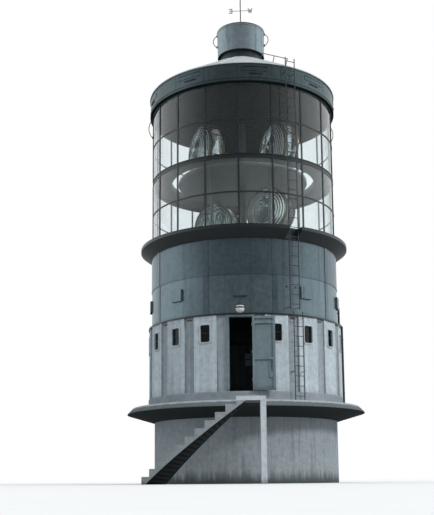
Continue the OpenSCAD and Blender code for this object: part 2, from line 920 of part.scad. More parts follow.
// A hoop whose two feet end at wall radii of their own
module grab_hoop(low_r, high_r, z, h) {
    foot_t = 16;
    foot_w = 60;
    high_y = -max(low_r, high_r) - foot_t;
    bow_r = (h * h / 4 + hoop_out * hoop_out) / (2 * hoop_out);
    half = asin(h / 2 / bow_r);
    translate([0, high_y - hoop_out + bow_r, z + h / 2])
        rotate([0, -90, 0])
            rotate([0, 0, -90 - half])
                rotate_extrude(angle = 2 * half)
                    translate([bow_r, 0])
                        circle(r = rail_r, $fn = 24);
    for (foot = [[low_r, 0], [high_r, h]])
        translate([-foot_w / 2, high_y - rail_r, z + foot[1] - foot_w / 2])
            cube([foot_w, -high_y + rail_r - foot[0], foot_w]);
}

module grab_hoops() {
    cowl_hoop_z = cowl_foot + cowl_hoop_rise;
    function cowl_r_at(z) = cowl_r + cowl_flare * (z - cowl_foot) / cowl_h;
    color("dimgray") {
        for (b = [-4, 5])
            rotate([0, 0, b * bay_angle])
                grab_hoop(lantern_r + lap_gap, lantern_r + lap_gap, lantern_top - 90 - lantern_hoop_h,
                          lantern_hoop_h);
        for (a = [-86, 86])
            rotate([0, 0, a])
                grab_hoop(cowl_r_at(cowl_hoop_z + 30) + lap_gap,
                          cowl_r_at(cowl_hoop_z + cowl_hoop_h + 30) + lap_gap, cowl_hoop_z,
                          cowl_hoop_h);
    }
}

// The pipe drops from the steel drum to the slab, with a kink over the ledge
module rainwater_pipe() {
    top = steel_foot + 700;
    high_r = steel_r + pipe_r + 20;
    low_r = panel_r + plinth_proud + pipe_r + 6;
    kink_top = steel_foot + 150;
    kink_foot = steel_foot + 40;
    bracket = 40;
    color("dimgray")
        rotate([0, 0, pipe_azimuth]) {
            translate([0, -high_r, kink_top - pipe_r / 2])
                cylinder(r = pipe_r, h = top - kink_top + pipe_r / 2, $fn = 32);
            rod_between([0, -high_r, kink_top], [0, -low_r, kink_foot], pipe_r - 1);
            translate([0, -low_r, slab_top + seat_gap])
                cylinder(r = pipe_r, h = kink_foot - slab_top + pipe_r / 2, $fn = 32);
            for (z = [slab_top + 500, drum_top - 400])
                translate([-bracket / 2, -low_r, z])
                    cube([bracket, low_r - strip_r, bracket]);
            translate([-bracket / 2, -high_r, top - 200])
                cube([bracket, high_r - steel_r, bracket]);
        }
}

// Door lamp

lamp_z = drum_top + 155;
lamp_y = -steel_r - 250;

module door_lamp_bracket() {
    color("black") {
        translate([0, lamp_y, lamp_z + 190])
            rotate([-90, 0, 0])
                cylinder(r = 14, h = -lamp_y - steel_r, $fn = 24);
        translate([0, lamp_y, lamp_z + 120])
            cylinder(r = 14, h = 84, $fn = 24);
        translate([0, lamp_y, lamp_z + 90 + seat_gap])
            cylinder(r1 = 130, r2 = 60, h = 45, $fn = 48);
    }
}

module door_lamp_globe() {
    color("white")
        difference() {
            translate([0, lamp_y, lamp_z])
                sphere(r = 140, $fn = 48);
            translate([-150, lamp_y - 150, lamp_z + 90])
                cube([300, 300, 100]);
        }
}

// Stair: a slab bent round the axis. Each column is an azimuth with the
// height of the soffit and of the top on the near and far side of a riser

stair_parts = 2;

function column_points(c) = concat(
    [for (r = [stair_out_r, c[4]]) concat(polar(r, c[0]), c[1])],
    [for (r = [stair_out_r, c[4]]) concat(polar(r, c[0]), c[2])],
    c[2] == c[3] ? [] : [for (r = [stair_out_r, c[4]]) concat(polar(r, c[0]), c[3])]);

// Number of points in the columns before column k
function column_start(cols, k) =
    k == 0 ? 0 : column_start(cols, k - 1) + (cols[k - 1][2] == cols[k - 1][3] ? 4 : 6);

module bent_slab(cols) {
    last = len(cols) - 1;
    is_riser = [for (c = cols) c[2] != c[3]];
    first = [for (k = [0 : last]) column_start(cols, k)];
    top = [for (k = [0 : last]) first[k] + (is_riser[k] ? 4 : 2)];
    points = [for (c = cols) each column_points(c)];
    sides = [for (k = [0 : last - 1]) each [
        concat([first[k], first[k + 1]], is_riser[k + 1] ? [first[k + 1] + 4] : [],
               [first[k + 1] + 2, top[k]]),
        concat([top[k] + 1, first[k + 1] + 3], is_riser[k + 1] ? [first[k + 1] + 5] : [],
               [first[k + 1] + 1, first[k] + 1]),
        [top[k], first[k + 1] + 2, first[k + 1] + 3, top[k] + 1],
        [first[k], first[k] + 1, first[k + 1] + 1],
        [first[k], first[k + 1] + 1, first[k + 1]]
    ]];
    rises = [for (k = [0 : last]) if (is_riser[k])
        [first[k] + 2, first[k] + 4, first[k] + 5, first[k] + 3]];
    ends = [[first[0], first[0] + 2, first[0] + 3, first[0] + 1],
            [first[last], first[last] + 1, first[last] + 3, first[last] + 2]];
    polyhedron(points, concat(sides, rises, ends), convexity = 10);
}

function soffit_z(k) = max(0, slab_top - riser_h * (k / stair_parts + 1) - stair_waist);

// The flight's columns; the first two carry it under the landing's edge
module stair_flight() {
    steps = risers - 1;
    under = landing_foot - seat_gap;
    haunch_angle = (under - 15 - soffit_z(0)) / riser_h * tread_angle;
    haunch = [landing_start + haunch_angle, under - 15, under, under, stair_in_r];
    cols = [for (k = [0 : steps * stair_parts])
        let (i = floor(k / stair_parts),
             z = slab_top - riser_h * (i + 1),
             at_riser = k % stair_parts == 0 && k > 0,
             above = at_riser ? z + riser_h : k == 0 ? under : z,
             below = at_riser && i == steps ? above : z)
        [landing_start - k * tread_angle / stair_parts, soffit_z(k), above, below, stair_in_r]];
    color("whitesmoke")
        bent_slab(concat([haunch], cols));
}

module stair_landing() {
    color("whitesmoke")
        sector_profile([[slab_edge(landing_foot) + 2 * lap_gap, landing_foot],
                        [stair_out_r, landing_foot], [stair_out_r, slab_top],
                        [slab_edge(slab_top) + 2 * lap_gap, slab_top]],
                       landing_start, landing_end, $fn = 360);
}

module landing_post() {
    color("whitesmoke")
        rotate([0, 0, landing_end - asin(post_w / 2 / stair_out_r)])
            translate([-post_w / 2, -stair_out_r * cos(3) - 2, 0])
                cube([post_w, post_w, landing_foot - seat_gap]);
}

// Revolving optic

module optic_bearing() {
    color("darkslategray")
        translate([0, 0, gallery_top + seat_gap]) {
            cylinder(r = bearing_r, h = 60);
            cylinder(r = bearing_r - 120, h = bearing_h - seat_gap);
        }
}

module optic_tables() {
    post_r = 55;
    post_inset = 300;
    color("darkolivegreen") {
        translate([0, 0, lower_table_z])
            cylinder(r = table_r, h = table_t);
        translate([0, 0, upper_table_z])
            cylinder(r = table_r, h = table_t);
        for (a = [30, 150, 210, 330])
            rotate([0, 0, a])
                translate([0, -table_r + post_inset, lower_table_z + table_t + seat_gap])
                    cylinder(r = post_r, $fn = 32,
                             h = upper_table_z - lower_table_z - table_t - 2 * seat_gap);
    }
}

module optic_column() {
    color("darkolivegreen") {
        translate([0, 0, lower_table_z + table_t + seat_gap])
            cylinder(r = column_r, h = upper_table_z - lower_table_z - table_t - 2 * seat_gap,
                     $fn = 48);
        translate([0, 0, upper_table_z + table_t + seat_gap])
            cylinder(r = column_r, h = upper_cage_foot + 2 * rim_r(upper_lens_r), $fn = 48);
    }
}

// Outside radius of the brass rim of a lens
function rim_r(r) = r + lens_gap + rim_w;

// Places of the lens pairs: two on each table, turned about the column and about themselves
module at_cages(z, around, turn) {
    for (side = [0, 180])
        rotate([0, 0, around + side])
            translate([cage_offset, 0, z + table_t + seat_gap])
                rotate([0, 0, turn - 90])
                    children();
}

module on_lower_table() {
    at_cages(lower_table_z, lower_turn, lower_lens_turn)
        children();
}

module on_upper_table() {
    at_cages(upper_table_z, 0, upper_lens_turn)
        children();
}

// Both brass rims of a lens pair with the bars between them and their foot
module cage(r, foot) {
    bar = 30;
    foot_w = 0.4 * r;
    lens_z = foot + rim_r(r);
    for (side = [-1, 1])
        translate([0, side * lens_split / 2 + rim_d / 2, lens_z])
            rotate([90, 0, 0])
                rotate_extrude()
                    translate([rim_r(r) - rim_w, 0])
                        square([rim_w, rim_d]);
    for (a = [22.5 : 45 : 337.5])
        translate([0, 0, lens_z])
            rotate([0, a, 0])
                translate([rim_r(r) - rim_w + 7, -lens_split / 2, -bar / 2])
                    cube([bar, lens_split, bar]);
    difference() {
        translate([-foot_w / 2, -lens_split / 2 - rim_d / 4, 0])
            cube([foot_w, lens_split + rim_d / 2, foot + rim_w]);
        translate([0, lens_split, lens_z])
            rotate([90, 0, 0])
                cylinder(r = rim_r(r) - rim_w / 2, h = 2 * lens_split);
    }
}

module lens_cages() {
    color("goldenrod") {
        on_lower_table()
            cage(lower_lens_r, lower_cage_foot);
        on_upper_table()
            cage(upper_lens_r, upper_cage_foot);
    }
}

// One domed lens of stepped glass: a bull's eye with rings round it
module lens_panel(r) {
    rings = round((r - bullseye_r) / lens_ring_w);
    ring_w = (r - bullseye_r) / rings;
    function bulge(q) = lens_rise * (1 - pow(q / r, 2));
    outside = [for (i = [0 : rings - 1]) each
        [[bullseye_r + i * ring_w, bulge(bullseye_r + i * ring_w) + lens_base_t + lens_step],
         [bullseye_r + (i + 1) * ring_w, bulge(bullseye_r + (i + 1) * ring_w) + lens_base_t]]];
    inside = [for (i = [rings : -1 : 0])
        [bullseye_r + i * ring_w, bulge(bullseye_r + i * ring_w)]];
    rotate_extrude()
        polygon(concat([[0, lens_rise], [0, lens_rise + lens_base_t + lens_step + 14],
                        [bullseye_r * 0.6, lens_rise + lens_base_t + lens_step],
                        [bullseye_r, bulge(bullseye_r) + lens_base_t]],
                       outside, inside));
}

// Both lenses of a pair, back to back in their rims
module lens_pair(r, foot) {
    for (side = [0, 180])
        rotate([0, 0, side])
            translate([0, -lens_split / 2, foot + rim_r(r)])
                rotate([90, 0, 0])
                    lens_panel(r);
}

module lower_lenses() {
    color("aliceblue")
        on_lower_table()
            lens_pair(lower_lens_r, lower_cage_foot);
}

module upper_lenses() {
    color("aliceblue")
        on_upper_table()
            lens_pair(upper_lens_r, upper_cage_foot);
}

module cage_lamp(r, foot) {
    lamp_z = foot + rim_r(r) - 90;
    translate([0, 0, foot + rim_w + seat_gap])
        cylinder(r = 45, h = lamp_z - foot - rim_w - seat_gap, $fn = 32);
    translate([0, 0, lamp_z])
        cylinder(r = 70, h = 200, $fn = 32);
}

module optic_lamps() {
    color("white") {
        on_lower_table()
            cage_lamp(lower_lens_r, lower_cage_foot);
        on_upper_table()
            cage_lamp(upper_lens_r, upper_cage_foot);
    }
}

pedestal();
gallery_slab();
plinth();
ground_floor();
drum_wall_front_left();
drum_wall_front_right();
drum_wall_left();
drum_wall_right();
drum_wall_back();
door_frame();
door_hinge_pins();
door_leaf();
door_handle();
window_panes();
ledge_ring();
lower_plates();
upper_plates();
plate_covers();
vent_hoods();
lantern_gallery();
lantern_floor();
lantern_mullions();
sill_ring();
lower_ring();
storey_band();
upper_ring();
head_ring();
glass_tier_1();
glass_tier_2();
glass_tier_3();
glass_tier_4();
lantern_walkway();
lantern_ceiling();
cornice_plates();
roof_cone();
ventilator_neck();
ventilator_cowl();
compass_rod();
roof_rail();
upper_ladder();
lower_ladder();
grab_hoops();
rainwater_pipe();
door_lamp_bracket();
door_lamp_globe();
stair_flight();
stair_landing();
landing_post();
optic_bearing();
optic_tables();
optic_column();
lens_cages();
lower_lenses();
upper_lenses();
optic_lamps();
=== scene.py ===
"""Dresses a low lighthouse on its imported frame: weathered concrete and paint,
glass, rivets, glazing caps, window frames, door and lamp fittings and the
compass letters, with a plain floor, soft light and the camera."""

import math

import bmesh
import bpy
from bpy.props import FloatProperty, FloatVectorProperty, PointerProperty
from mathutils import Matrix, Vector


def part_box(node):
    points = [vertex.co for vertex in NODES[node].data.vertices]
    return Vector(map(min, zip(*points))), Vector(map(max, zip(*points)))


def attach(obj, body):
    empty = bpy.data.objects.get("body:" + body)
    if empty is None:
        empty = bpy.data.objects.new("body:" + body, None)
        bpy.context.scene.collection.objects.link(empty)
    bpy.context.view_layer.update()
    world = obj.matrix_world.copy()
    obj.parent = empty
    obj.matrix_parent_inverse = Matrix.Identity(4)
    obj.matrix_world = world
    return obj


bl_info = {
    "name": "Lighthouse Dressing",
    "version": (1, 0, 0),
    "blender": (4, 5, 0),
    "location": "3D View > Sidebar > Lighthouse",
    "description": "Materials, rivets, fittings and stage for a low lighthouse",
    "category": "Object",
}

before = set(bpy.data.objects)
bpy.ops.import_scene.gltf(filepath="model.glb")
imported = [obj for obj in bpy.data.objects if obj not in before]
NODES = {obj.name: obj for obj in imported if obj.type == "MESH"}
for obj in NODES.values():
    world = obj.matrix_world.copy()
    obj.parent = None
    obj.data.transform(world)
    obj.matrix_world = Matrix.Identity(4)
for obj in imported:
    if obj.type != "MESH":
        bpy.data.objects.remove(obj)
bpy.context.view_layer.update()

# Materials that several operators use, and shared effects, by name
PAINTS = {}
GROUPS = {}


def foot(node):
    """Height of a CAD node's lowest point."""
    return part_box(node)[0].z


def top(node):
    """Height of a CAD node's highest point."""
    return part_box(node)[1].z


def middle(node):
    """Height halfway up a CAD node."""
    return (foot(node) + top(node)) / 2


def reach(node):
    """How far a CAD node reaches from the tower's axis towards +X."""
    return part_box(node)[1].x


# How the bays and plates divide the circle
BAYS = 18
PLATES = 9
FULL_TURN = 2 * math.pi
QUARTER = math.radians(90)
BAY = FULL_TURN / BAYS
PLATE = FULL_TURN / PLATES

# Sizes of the solids that their boxes don't show
PLINTH_PROUD = 0.008
PANEL_R = reach("plinth") - PLINTH_PROUD
PANEL_HALF_ANGLE = math.radians(6.7)
PANEL_FLAT = PANEL_R * math.cos(PANEL_HALF_ANGLE)
WINDOW_WIDTH = 0.32
WINDOW_CORNER = 0.06
SURROUND_PROUD = 0.016
DOOR_LEAF_WIDTH = 0.684
COVER_WIDTH = 0.18
CORNICE_RIB = 0.014
OUTLET_RISE = 0.345
EAVE_THICKNESS = 0.036
NECK_R = 0.740
COWL_FLARE = 0.020
COMPASS_ARM_RISE = 0.88
LADDER_AZIMUTH = math.radians(30)
LADDER_WIDTH = 0.33
LADDER_R = 3.25
PIPE_AZIMUTH = math.radians(91)
PIPE_R = 0.038

# Stepped lenses: radius, height, place round the column and turn in degrees, number of rings
LENSES = ((0.900, middle("upper_lenses"), 0, 30, 10),
          (0.760, middle("lower_lenses"), -40, 98, 8))
LENS_SPREAD = 0.57
LENS_OFFSET = LENS_SPREAD * reach("optic_tables")
LENS_HALF_SPLIT = 0.23
LENS_RISE = 0.240
LENS_BASE = 0.016
LENS_STEP = 0.026
BULLSEYE = 0.150

# How deep the foot of a fitting is sunk in what carries it
SUNK = 0.001
# Rivets of the cornice and cowl beside those of the plates
SMALL_RIVET = 0.85
# How light the plinth and the pedestal are beside the wall
PLINTH_TONE = 0.83
PEDESTAL_TONE = 0.63
# How far behind the panels' face the painted shade of the recessed strips begins
RECESS_INSET = 0.032


def hue(name, description, default):
    """A colour that a user can change."""
    return FloatVectorProperty(name=name, description=description, default=default, size=3,
                               subtype="COLOR", min=0, max=1)


class LighthouseColours(bpy.types.PropertyGroup):
    """Colours of the concrete, paint, glass and brass"""
    wall: hue("Wall", "Concrete of the drum, and darker of plinth and pedestal",
              (0.52, 0.59, 0.64))
    slab: hue("Slab", "Concrete of the gallery slab", (0.33, 0.385, 0.415))
    stair: hue("Stair", "Concrete of the stair flight", (0.33, 0.37, 0.39))
    rim: hue("Landing", "Smooth concrete of the landing and its post", (0.58, 0.64, 0.68))
    surround: hue("Surrounds", "Limewash round the windows", (0.50, 0.56, 0.60))
    plate: hue("Upper plates", "Paint of the upper course of riveted plates",
               (0.150, 0.204, 0.228))
    low_plate: hue("Lower plates", "Paint of the lower course of riveted plates",
                   (0.195, 0.262, 0.292))
    cornice: hue("Cornice", "Paint of the cornice plates", (0.096, 0.135, 0.147))
    neck: hue("Neck", "Paint of the ventilator's neck, darkened as painted shade under the cowl", (0.075, 0.095, 0.110))
    cowl: hue("Cowl", "Paint of the ventilator's cowl", (0.34, 0.42, 0.46))
    roof: hue("Roof", "Weathered zinc of the roof cone", (0.63, 0.68, 0.70))
    dark: hue("Dark steel", "Paint of the gallery and the lantern's bars",
              (0.010, 0.017, 0.019))
    soot: hue("Ceiling", "Sooty paint of the lantern's ceiling", (0.009, 0.019, 0.021))
    walkway: hue("Walkway", "Paint of the walkway between the storeys", (0.060, 0.095, 0.100))
    ladder: hue("Ladders", "Paint of the ladders, pipe and hoops", (0.030, 0.040, 0.045))
    door: hue("Door", "Paint of the door leaf and its frame", (0.17, 0.235, 0.26))
    door_brass: hue("Door brass", "Brass of the door's pull", (0.17, 0.15, 0.10))
    glass: hue("Glass", "Tint of the lantern's glass", (0.93, 0.97, 0.975))
    window: hue("Window glass darkened as painted shade", "Near-black tint of the drum's window panes, painted shade of the room behind", (0.008, 0.011, 0.012))
    lens: hue("Lens glass", "Tint of the stepped lenses", (0.46, 0.53, 0.54))
    lamp: hue("Lamp glass", "Tint of the optic's lamps", (0.9, 0.92, 0.9))
    brass: hue("Brass", "Brass of the lens cages", (0.17, 0.145, 0.08))
    optic: hue("Optic", "Paint of the optic's tables and column", (0.075, 0.120, 0.122))


class LighthouseFittings(bpy.types.PropertyGroup):
    """Sizes of the rivets, cap strips, window frames and letters"""
    rivet_radius: FloatProperty(
        name="Rivet radius", description="Radius of a rivet's head",
        default=0.013, min=0.006, max=0.02, unit="LENGTH")
    rivet_height: FloatProperty(
        name="Rivet height", description="Height of a rivet's head",
        default=0.008, min=0.003, max=0.015, unit="LENGTH")
    rivet_pitch: FloatProperty(
        name="Rivet pitch", description="Distance between rivets in a row",
        default=0.09, min=0.05, max=0.2, unit="LENGTH")
    cap_width: FloatProperty(
        name="Cap width", description="Width of the cap strips on the lantern's mullions",
        default=0.056, min=0.044, max=0.08, unit="LENGTH")
    cap_thickness: FloatProperty(
        name="Cap thickness", description="Thickness of the cap strips",
        default=0.006, min=0.002, max=0.012, unit="LENGTH")
    frame_bar: FloatProperty(
        name="Window frame bar", description="Width of the bars of a window's frame",
        default=0.03, min=0.015, max=0.05, unit="LENGTH")
    letter_height: FloatProperty(
        name="Letter height", description="Height of the letters on the compass arms",
        default=0.17, min=0.1, max=0.25, unit="LENGTH")


class LighthouseStage(bpy.types.PropertyGroup):
    """Camera, floor and light"""
    camera_distance: FloatProperty(
        name="Camera distance", description="Distance of the camera from the tower's axis",
        default=29.8, min=15, max=60, unit="LENGTH")
    camera_height: FloatProperty(
        name="Camera height", description="Height of the camera above the ground",
        default=0.12, min=0.05, max=5, unit="LENGTH")
    camera_azimuth: FloatProperty(
        name="Camera azimuth", description="Azimuth of the camera from the door, towards +X",
        default=math.radians(2.2), unit="ROTATION")
    camera_turn: FloatProperty(
        name="Camera turn", description="Turn of the camera to the left of the axis",
        default=math.radians(1.80), unit="ROTATION")
    camera_pitch: FloatProperty(
        name="Camera pitch", description="Upward tilt of the camera",
        default=math.radians(9.26), unit="ROTATION")
    camera_roll: FloatProperty(
        name="Camera roll", description="Clockwise roll of the camera",
        default=math.radians(0.47), unit="ROTATION")
    camera_lens: FloatProperty(
        name="Lens", description="Focal length on a sensor 36 mm high",
        default=62.2, min=20, max=120, unit="CAMERA")
    camera_shift: FloatProperty(
        name="Shift", description="Upward shift of the lens, as a share of the frame",
        default=0.15, min=0, max=0.6)
    floor_radius: FloatProperty(
        name="Floor radius", description="Radius of the floor disc",
        default=70, min=20, max=200, unit="LENGTH")
    ambient: FloatProperty(
        name="Ambient", description="Level of the soft light from all sides",
        default=1.0, min=0, max=2)
    front_shade: FloatProperty(
        name="Front shade", description="How much darker the sky is on the door's side",
        default=0.42, min=0, max=1)
    mirrored_shade: FloatProperty(
        name="Mirrored shade", description="The same, as gloss paint and glass mirror it",
        default=0.86, min=0, max=1)
    sun_strength: FloatProperty(
        name="Sun strength", description="Strength of the hazy sun",
        default=1.5, min=0, max=5)
    sun_azimuth: FloatProperty(
        name="Sun azimuth", description="Azimuth of the sun from the door, towards +X",
        default=math.radians(56), unit="ROTATION")
    sun_elevation: FloatProperty(
        name="Sun elevation", description="Height of the sun above the horizon",
        default=math.radians(36), unit="ROTATION")

# Node trees


class Net:
    """Adds and joins nodes in one node tree."""

    def __init__(self, tree):
        self.tree = tree

    def feed(self, socket, value):
        """Links a socket to another one or sets its value."""
        if isinstance(value, bpy.types.NodeSocket):
            self.tree.links.new(value, socket)
        else:
            socket.default_value = value

    def add(self, kind, inputs=(), **settings):
        """Adds a shader node, sets it and feeds its inputs."""
        made = self.tree.nodes.new("ShaderNode" + kind)
        for name, value in settings.items():
            setattr(made, name, value)
        for name, value in dict(inputs).items():
            self.feed(made.inputs[name], value)
        return made

    def math(self, operation, *values):
        """The result of a Math node."""
        made = self.add("Math", operation=operation)
        for socket, value in zip(made.inputs, values):
            self.feed(socket, value)
        return made.outputs[0]

    def mix(self, factor, a, b):
        """A colour between a and b, which a Mix node keeps in its sockets 6 and 7."""
        made = self.add("Mix", {0: factor, 6: a, 7: b}, data_type="RGBA")
        return made.outputs[2]

    def level(self, factor, a, b):
        """A number between a and b, which a Mix node keeps in its sockets 2 and 3."""
        return self.add("Mix", {0: factor, 2: a, 3: b}, data_type="FLOAT").outputs[0]

    def span(self, value, low, high, to_low=0.0, to_high=1.0):
        """A smooth step from to_low at low to to_high at high."""
        made = self.add("MapRange", {
            "Value": value, "From Min": low, "From Max": high,
            "To Min": to_low, "To Max": to_high}, interpolation_type="SMOOTHSTEP")
        return made.outputs["Result"]

    def swing(self, value, amount, base):
        """Adds to base the swing of a value, which runs from 0 to 1, about its middle."""
        return self.math("MULTIPLY_ADD", self.math("SUBTRACT", value, 0.5), amount, base)

    def scaled(self, vector, factor):
        """A vector or colour times a factor."""
        made = self.add("VectorMath", {"Vector": vector, "Scale": factor}, operation="SCALE")
        return made.outputs["Vector"]

    def here(self):
        """The object's coordinates, which are the tower's for every CAD node."""
        return self.add("TexCoord").outputs["Object"]

    def tall(self, at, squeeze):
        """Coordinates squeezed upwards, so that a noise on them draws tall marks."""
        return self.add("Mapping", {"Vector": at, "Scale": (1, 1, squeeze)}).outputs["Vector"]

    def noise(self, vector, scale, detail, roughness):
        """The value of a noise texture."""
        made = self.add("TexNoise", {
            "Vector": vector, "Scale": scale, "Detail": detail, "Roughness": roughness})
        return made.outputs["Fac"]

    def bump(self, height, strength, distance):
        """The normal of a relief."""
        return self.add("Bump", {"Height": height, "Strength": strength,
                                 "Distance": distance}).outputs["Normal"]


def group_net(name, inputs, outputs):
    """A new shader node group as (tree, net, input sockets, output sockets)."""
    tree = bpy.data.node_groups.new(name, "ShaderNodeTree")
    for label, default in inputs.items():
        kind = "NodeSocketColor" if isinstance(default, tuple) else "NodeSocketFloat"
        socket = tree.interface.new_socket(label, in_out="INPUT", socket_type=kind)
        socket.default_value = default
    for label, kind in outputs.items():
        tree.interface.new_socket(label, in_out="OUTPUT", socket_type="NodeSocket" + kind)
    source = tree.nodes.new("NodeGroupInput")
    sink = tree.nodes.new("NodeGroupOutput")
    return tree, Net(tree), source.outputs, sink.inputs


def fresh_material(name):
    """An empty material as (material, net, the output's surface socket)."""
    made = bpy.data.materials.new(name)
    made.use_nodes = True
    made.node_tree.nodes.clear()
    net = Net(made.node_tree)
    return made, net, net.add("OutputMaterial").inputs["Surface"]


def weather_group():
    """Patches, runs, foot dirt, painted shade under ledges and in recessed strips, and dust on top,
    as colour and relief.
    """
    tree, net, given, out = group_net(
        "Sea weathering",
        {"Base": (0.5, 0.5, 0.5, 1), "Dirt": (0.03, 0.035, 0.035, 1),
         "Dust": (0.4, 0.43, 0.45, 1), "Patches": 0.2, "Runs": 0.3, "Soot": 0.6,
         "Settled": 0.3, "Foot Height": 0.0, "Foot Depth": 0.6, "Foot Dirt": 0.0,
         "Recess Radius": 0.0, "Recess Shade": 0.0, "Roughness": 0.5},
        {"Color": "Color", "Roughness": "Float", "Height": "Float"})
    at = net.here()
    parts = net.add("SeparateXYZ", {"Vector": at}).outputs
    tall = net.tall(at, 0.06)
    patches = net.noise(at, 0.8, 6, 0.62)
    blots = net.noise(at, 7.0, 7, 0.68)
    runs = net.noise(tall, 4.5, 6, 0.66)
    threads = net.noise(tall, 26, 4, 0.6)
    grain = net.noise(at, 140, 3, 0.6)

    # Lighter and darker places in the base colour
    tone = net.swing(patches, given["Patches"], 1.0)
    tone = net.swing(threads, net.math("MULTIPLY", given["Runs"], 0.7), tone)
    tone = net.swing(blots, 0.85, tone)
    tone = net.swing(grain, 0.10, tone)
    toned = net.scaled(given["Base"], tone)

    # Dirt in runs and at the foot, and painted shade under ledges and in recessed strips, all in
    # the Dirt colour
    stained = net.math("MULTIPLY", net.span(runs, 0.5, 0.78), given["Runs"])
    tongues = net.math("MULTIPLY", given["Foot Depth"], net.span(runs, 0.3, 0.7, 0.35, 1.25))
    splash_top = net.math("ADD", given["Foot Height"], tongues)
    splash = net.math("MULTIPLY", net.span(parts["Z"], given["Foot Height"], splash_top, 1.0, 0.0),
                      given["Foot Dirt"])
    normal = net.add("NewGeometry").outputs["Normal"]
    up = net.add("SeparateXYZ", {"Vector": normal}).outputs["Z"]
    # Painted shade on faces that look down, mixed towards the Dirt colour
    under = net.math("MULTIPLY", net.span(up, -0.85, -0.25, 1.0, 0.0), given["Soot"])
    radius = net.math("SQRT", net.math("ADD", net.math("POWER", parts["X"], 2.0),
                                       net.math("POWER", parts["Y"], 2.0)))
    # Painted shade in the strips recessed behind the panels' face
    inset = net.span(net.math("SUBTRACT", radius, given["Recess Radius"]), -0.006, 0.0, 1.0, 0.0)
    inset = net.math("MULTIPLY", net.math("MULTIPLY", inset, given["Recess Shade"]),
                     net.span(runs, 0.2, 0.6, 0.7, 1.15))
    dirt = net.math("MAXIMUM", net.math("MAXIMUM", stained, splash),
                    net.math("MAXIMUM", under, inset))

    # Dust and droppings on what faces the sky
    on_top = net.math("MULTIPLY", net.span(up, 0.55, 0.95), given["Settled"])
    on_top = net.math("MULTIPLY", on_top, net.span(blots, 0.25, 0.6, 0.55, 1.0))
    dusty = net.mix(on_top, toned, given["Dust"])
    net.feed(out["Color"], net.mix(dirt, dusty, given["Dirt"]))

    rough = net.swing(blots, 0.3, given["Roughness"])
    rough = net.math("MULTIPLY_ADD", net.math("MAXIMUM", dirt, on_top), 0.25, rough)
    net.feed(out["Roughness"], net.math("MINIMUM", rough, 0.95))
    height = net.math("MULTIPLY_ADD", grain, 0.4, net.math("MULTIPLY", blots, 0.6))
    net.feed(out["Height"], net.math("MULTIPLY_ADD", threads, 0.4, height))
    return tree


def board_group():
    """Upright board marks of the shuttering, with dark joints and the grain of the wood."""
    tree, net, given, out = group_net(
        "Board marks",
        {"Base": (0.5, 0.5, 0.5, 1), "Depth": 0.3, "Board Width": 0.11, "Wall Radius": 3.2},
        {"Color": "Color", "Height": "Float"})
    at = net.here()
    parts = net.add("SeparateXYZ", {"Vector": at}).outputs
    around = net.math("ARCTAN2", parts["X"], net.math("MULTIPLY", parts["Y"], -1.0))
    along = net.math("DIVIDE", net.math("MULTIPLY", around, given["Wall Radius"]),
                     given["Board Width"])
    edge = net.math("ABSOLUTE", net.math("SUBTRACT", net.math("FRACT", along), 0.5))
    joint = net.span(edge, 0.44, 0.5)
    board = net.math("FLOOR", along)
    shade = net.add("TexWhiteNoise", {"W": board}, noise_dimensions="1D").outputs["Value"]
    wood = net.noise(net.tall(at, 0.035), 60, 5, 0.7)
    tone = net.swing(shade, 0.16, 1.0)
    tone = net.swing(wood, 0.34, tone)
    tone = net.math("MULTIPLY_ADD", joint, -0.10, tone)
    net.feed(out["Color"], net.scaled(given["Base"], tone))
    relief = net.math("SUBTRACT", net.math("MULTIPLY", wood, 0.6), joint)
    net.feed(out["Height"], net.math("MULTIPLY", relief, given["Depth"]))
    return tree


def blister_group():
    """Rust blisters in old paint, as a mask that gathers in places."""
    tree, net, given, out = group_net("Rust blisters", {"Amount": 0.5}, {"Mask": "Float"})
    at = net.here()
    spots = net.noise(at, 34, 6, 0.7)
    where = net.noise(net.tall(at, 0.3), 1.7, 5, 0.6)
    mask = net.math("MULTIPLY", net.span(spots, 0.60, 0.74), net.span(where, 0.48, 0.72))
    net.feed(out["Mask"], net.math("MULTIPLY", mask, given["Amount"]))
    return tree


def effect(net, name, maker, inputs):
    """Places a shared effect in a material with its own values."""
    if name not in GROUPS:
        GROUPS[name] = maker()
    made = net.tree.nodes.new("ShaderNodeGroup")
    made.node_tree = GROUPS[name]
    for label, value in inputs.items():
        net.feed(made.inputs[label], value)
    return made.outputs


def foot_dirt(height, depth, amount):
    """Inputs of the weathering for dirt splashed up from a height."""
    return {"Foot Height": height, "Foot Depth": depth, "Foot Dirt": amount}


# Materials


def opaque(value):
    """A colour with its alpha."""
    return (*value, 1.0)


def darkened(value, share):
    """A share of a colour."""
    return [share * channel for channel in value]


def concrete(name, base, boards=0.0, **weather):
    """Sea-worn cast concrete."""
    made, net, surface = fresh_material(name)
    lead = opaque(base)
    relief = None
    if boards:
        marks = effect(net, "Board marks", board_group, {"Base": lead, "Depth": boards})
        lead, relief = marks["Color"], marks["Height"]
    worn = effect(net, "Sea weathering", weather_group, {
        "Base": lead, "Dirt": (0.035, 0.042, 0.042, 1), "Dust": (0.42, 0.46, 0.48, 1),
        "Roughness": 0.85, **weather})
    height = worn["Height"] if relief is None else net.math("ADD", worn["Height"], relief)
    shader = net.add("BsdfPrincipled", {
        "Base Color": worn["Color"], "Roughness": worn["Roughness"],
        "Specular IOR Level": 0.3, "Normal": net.bump(height, 0.55, 0.006)})
    net.feed(surface, shader.outputs[0])
    return made


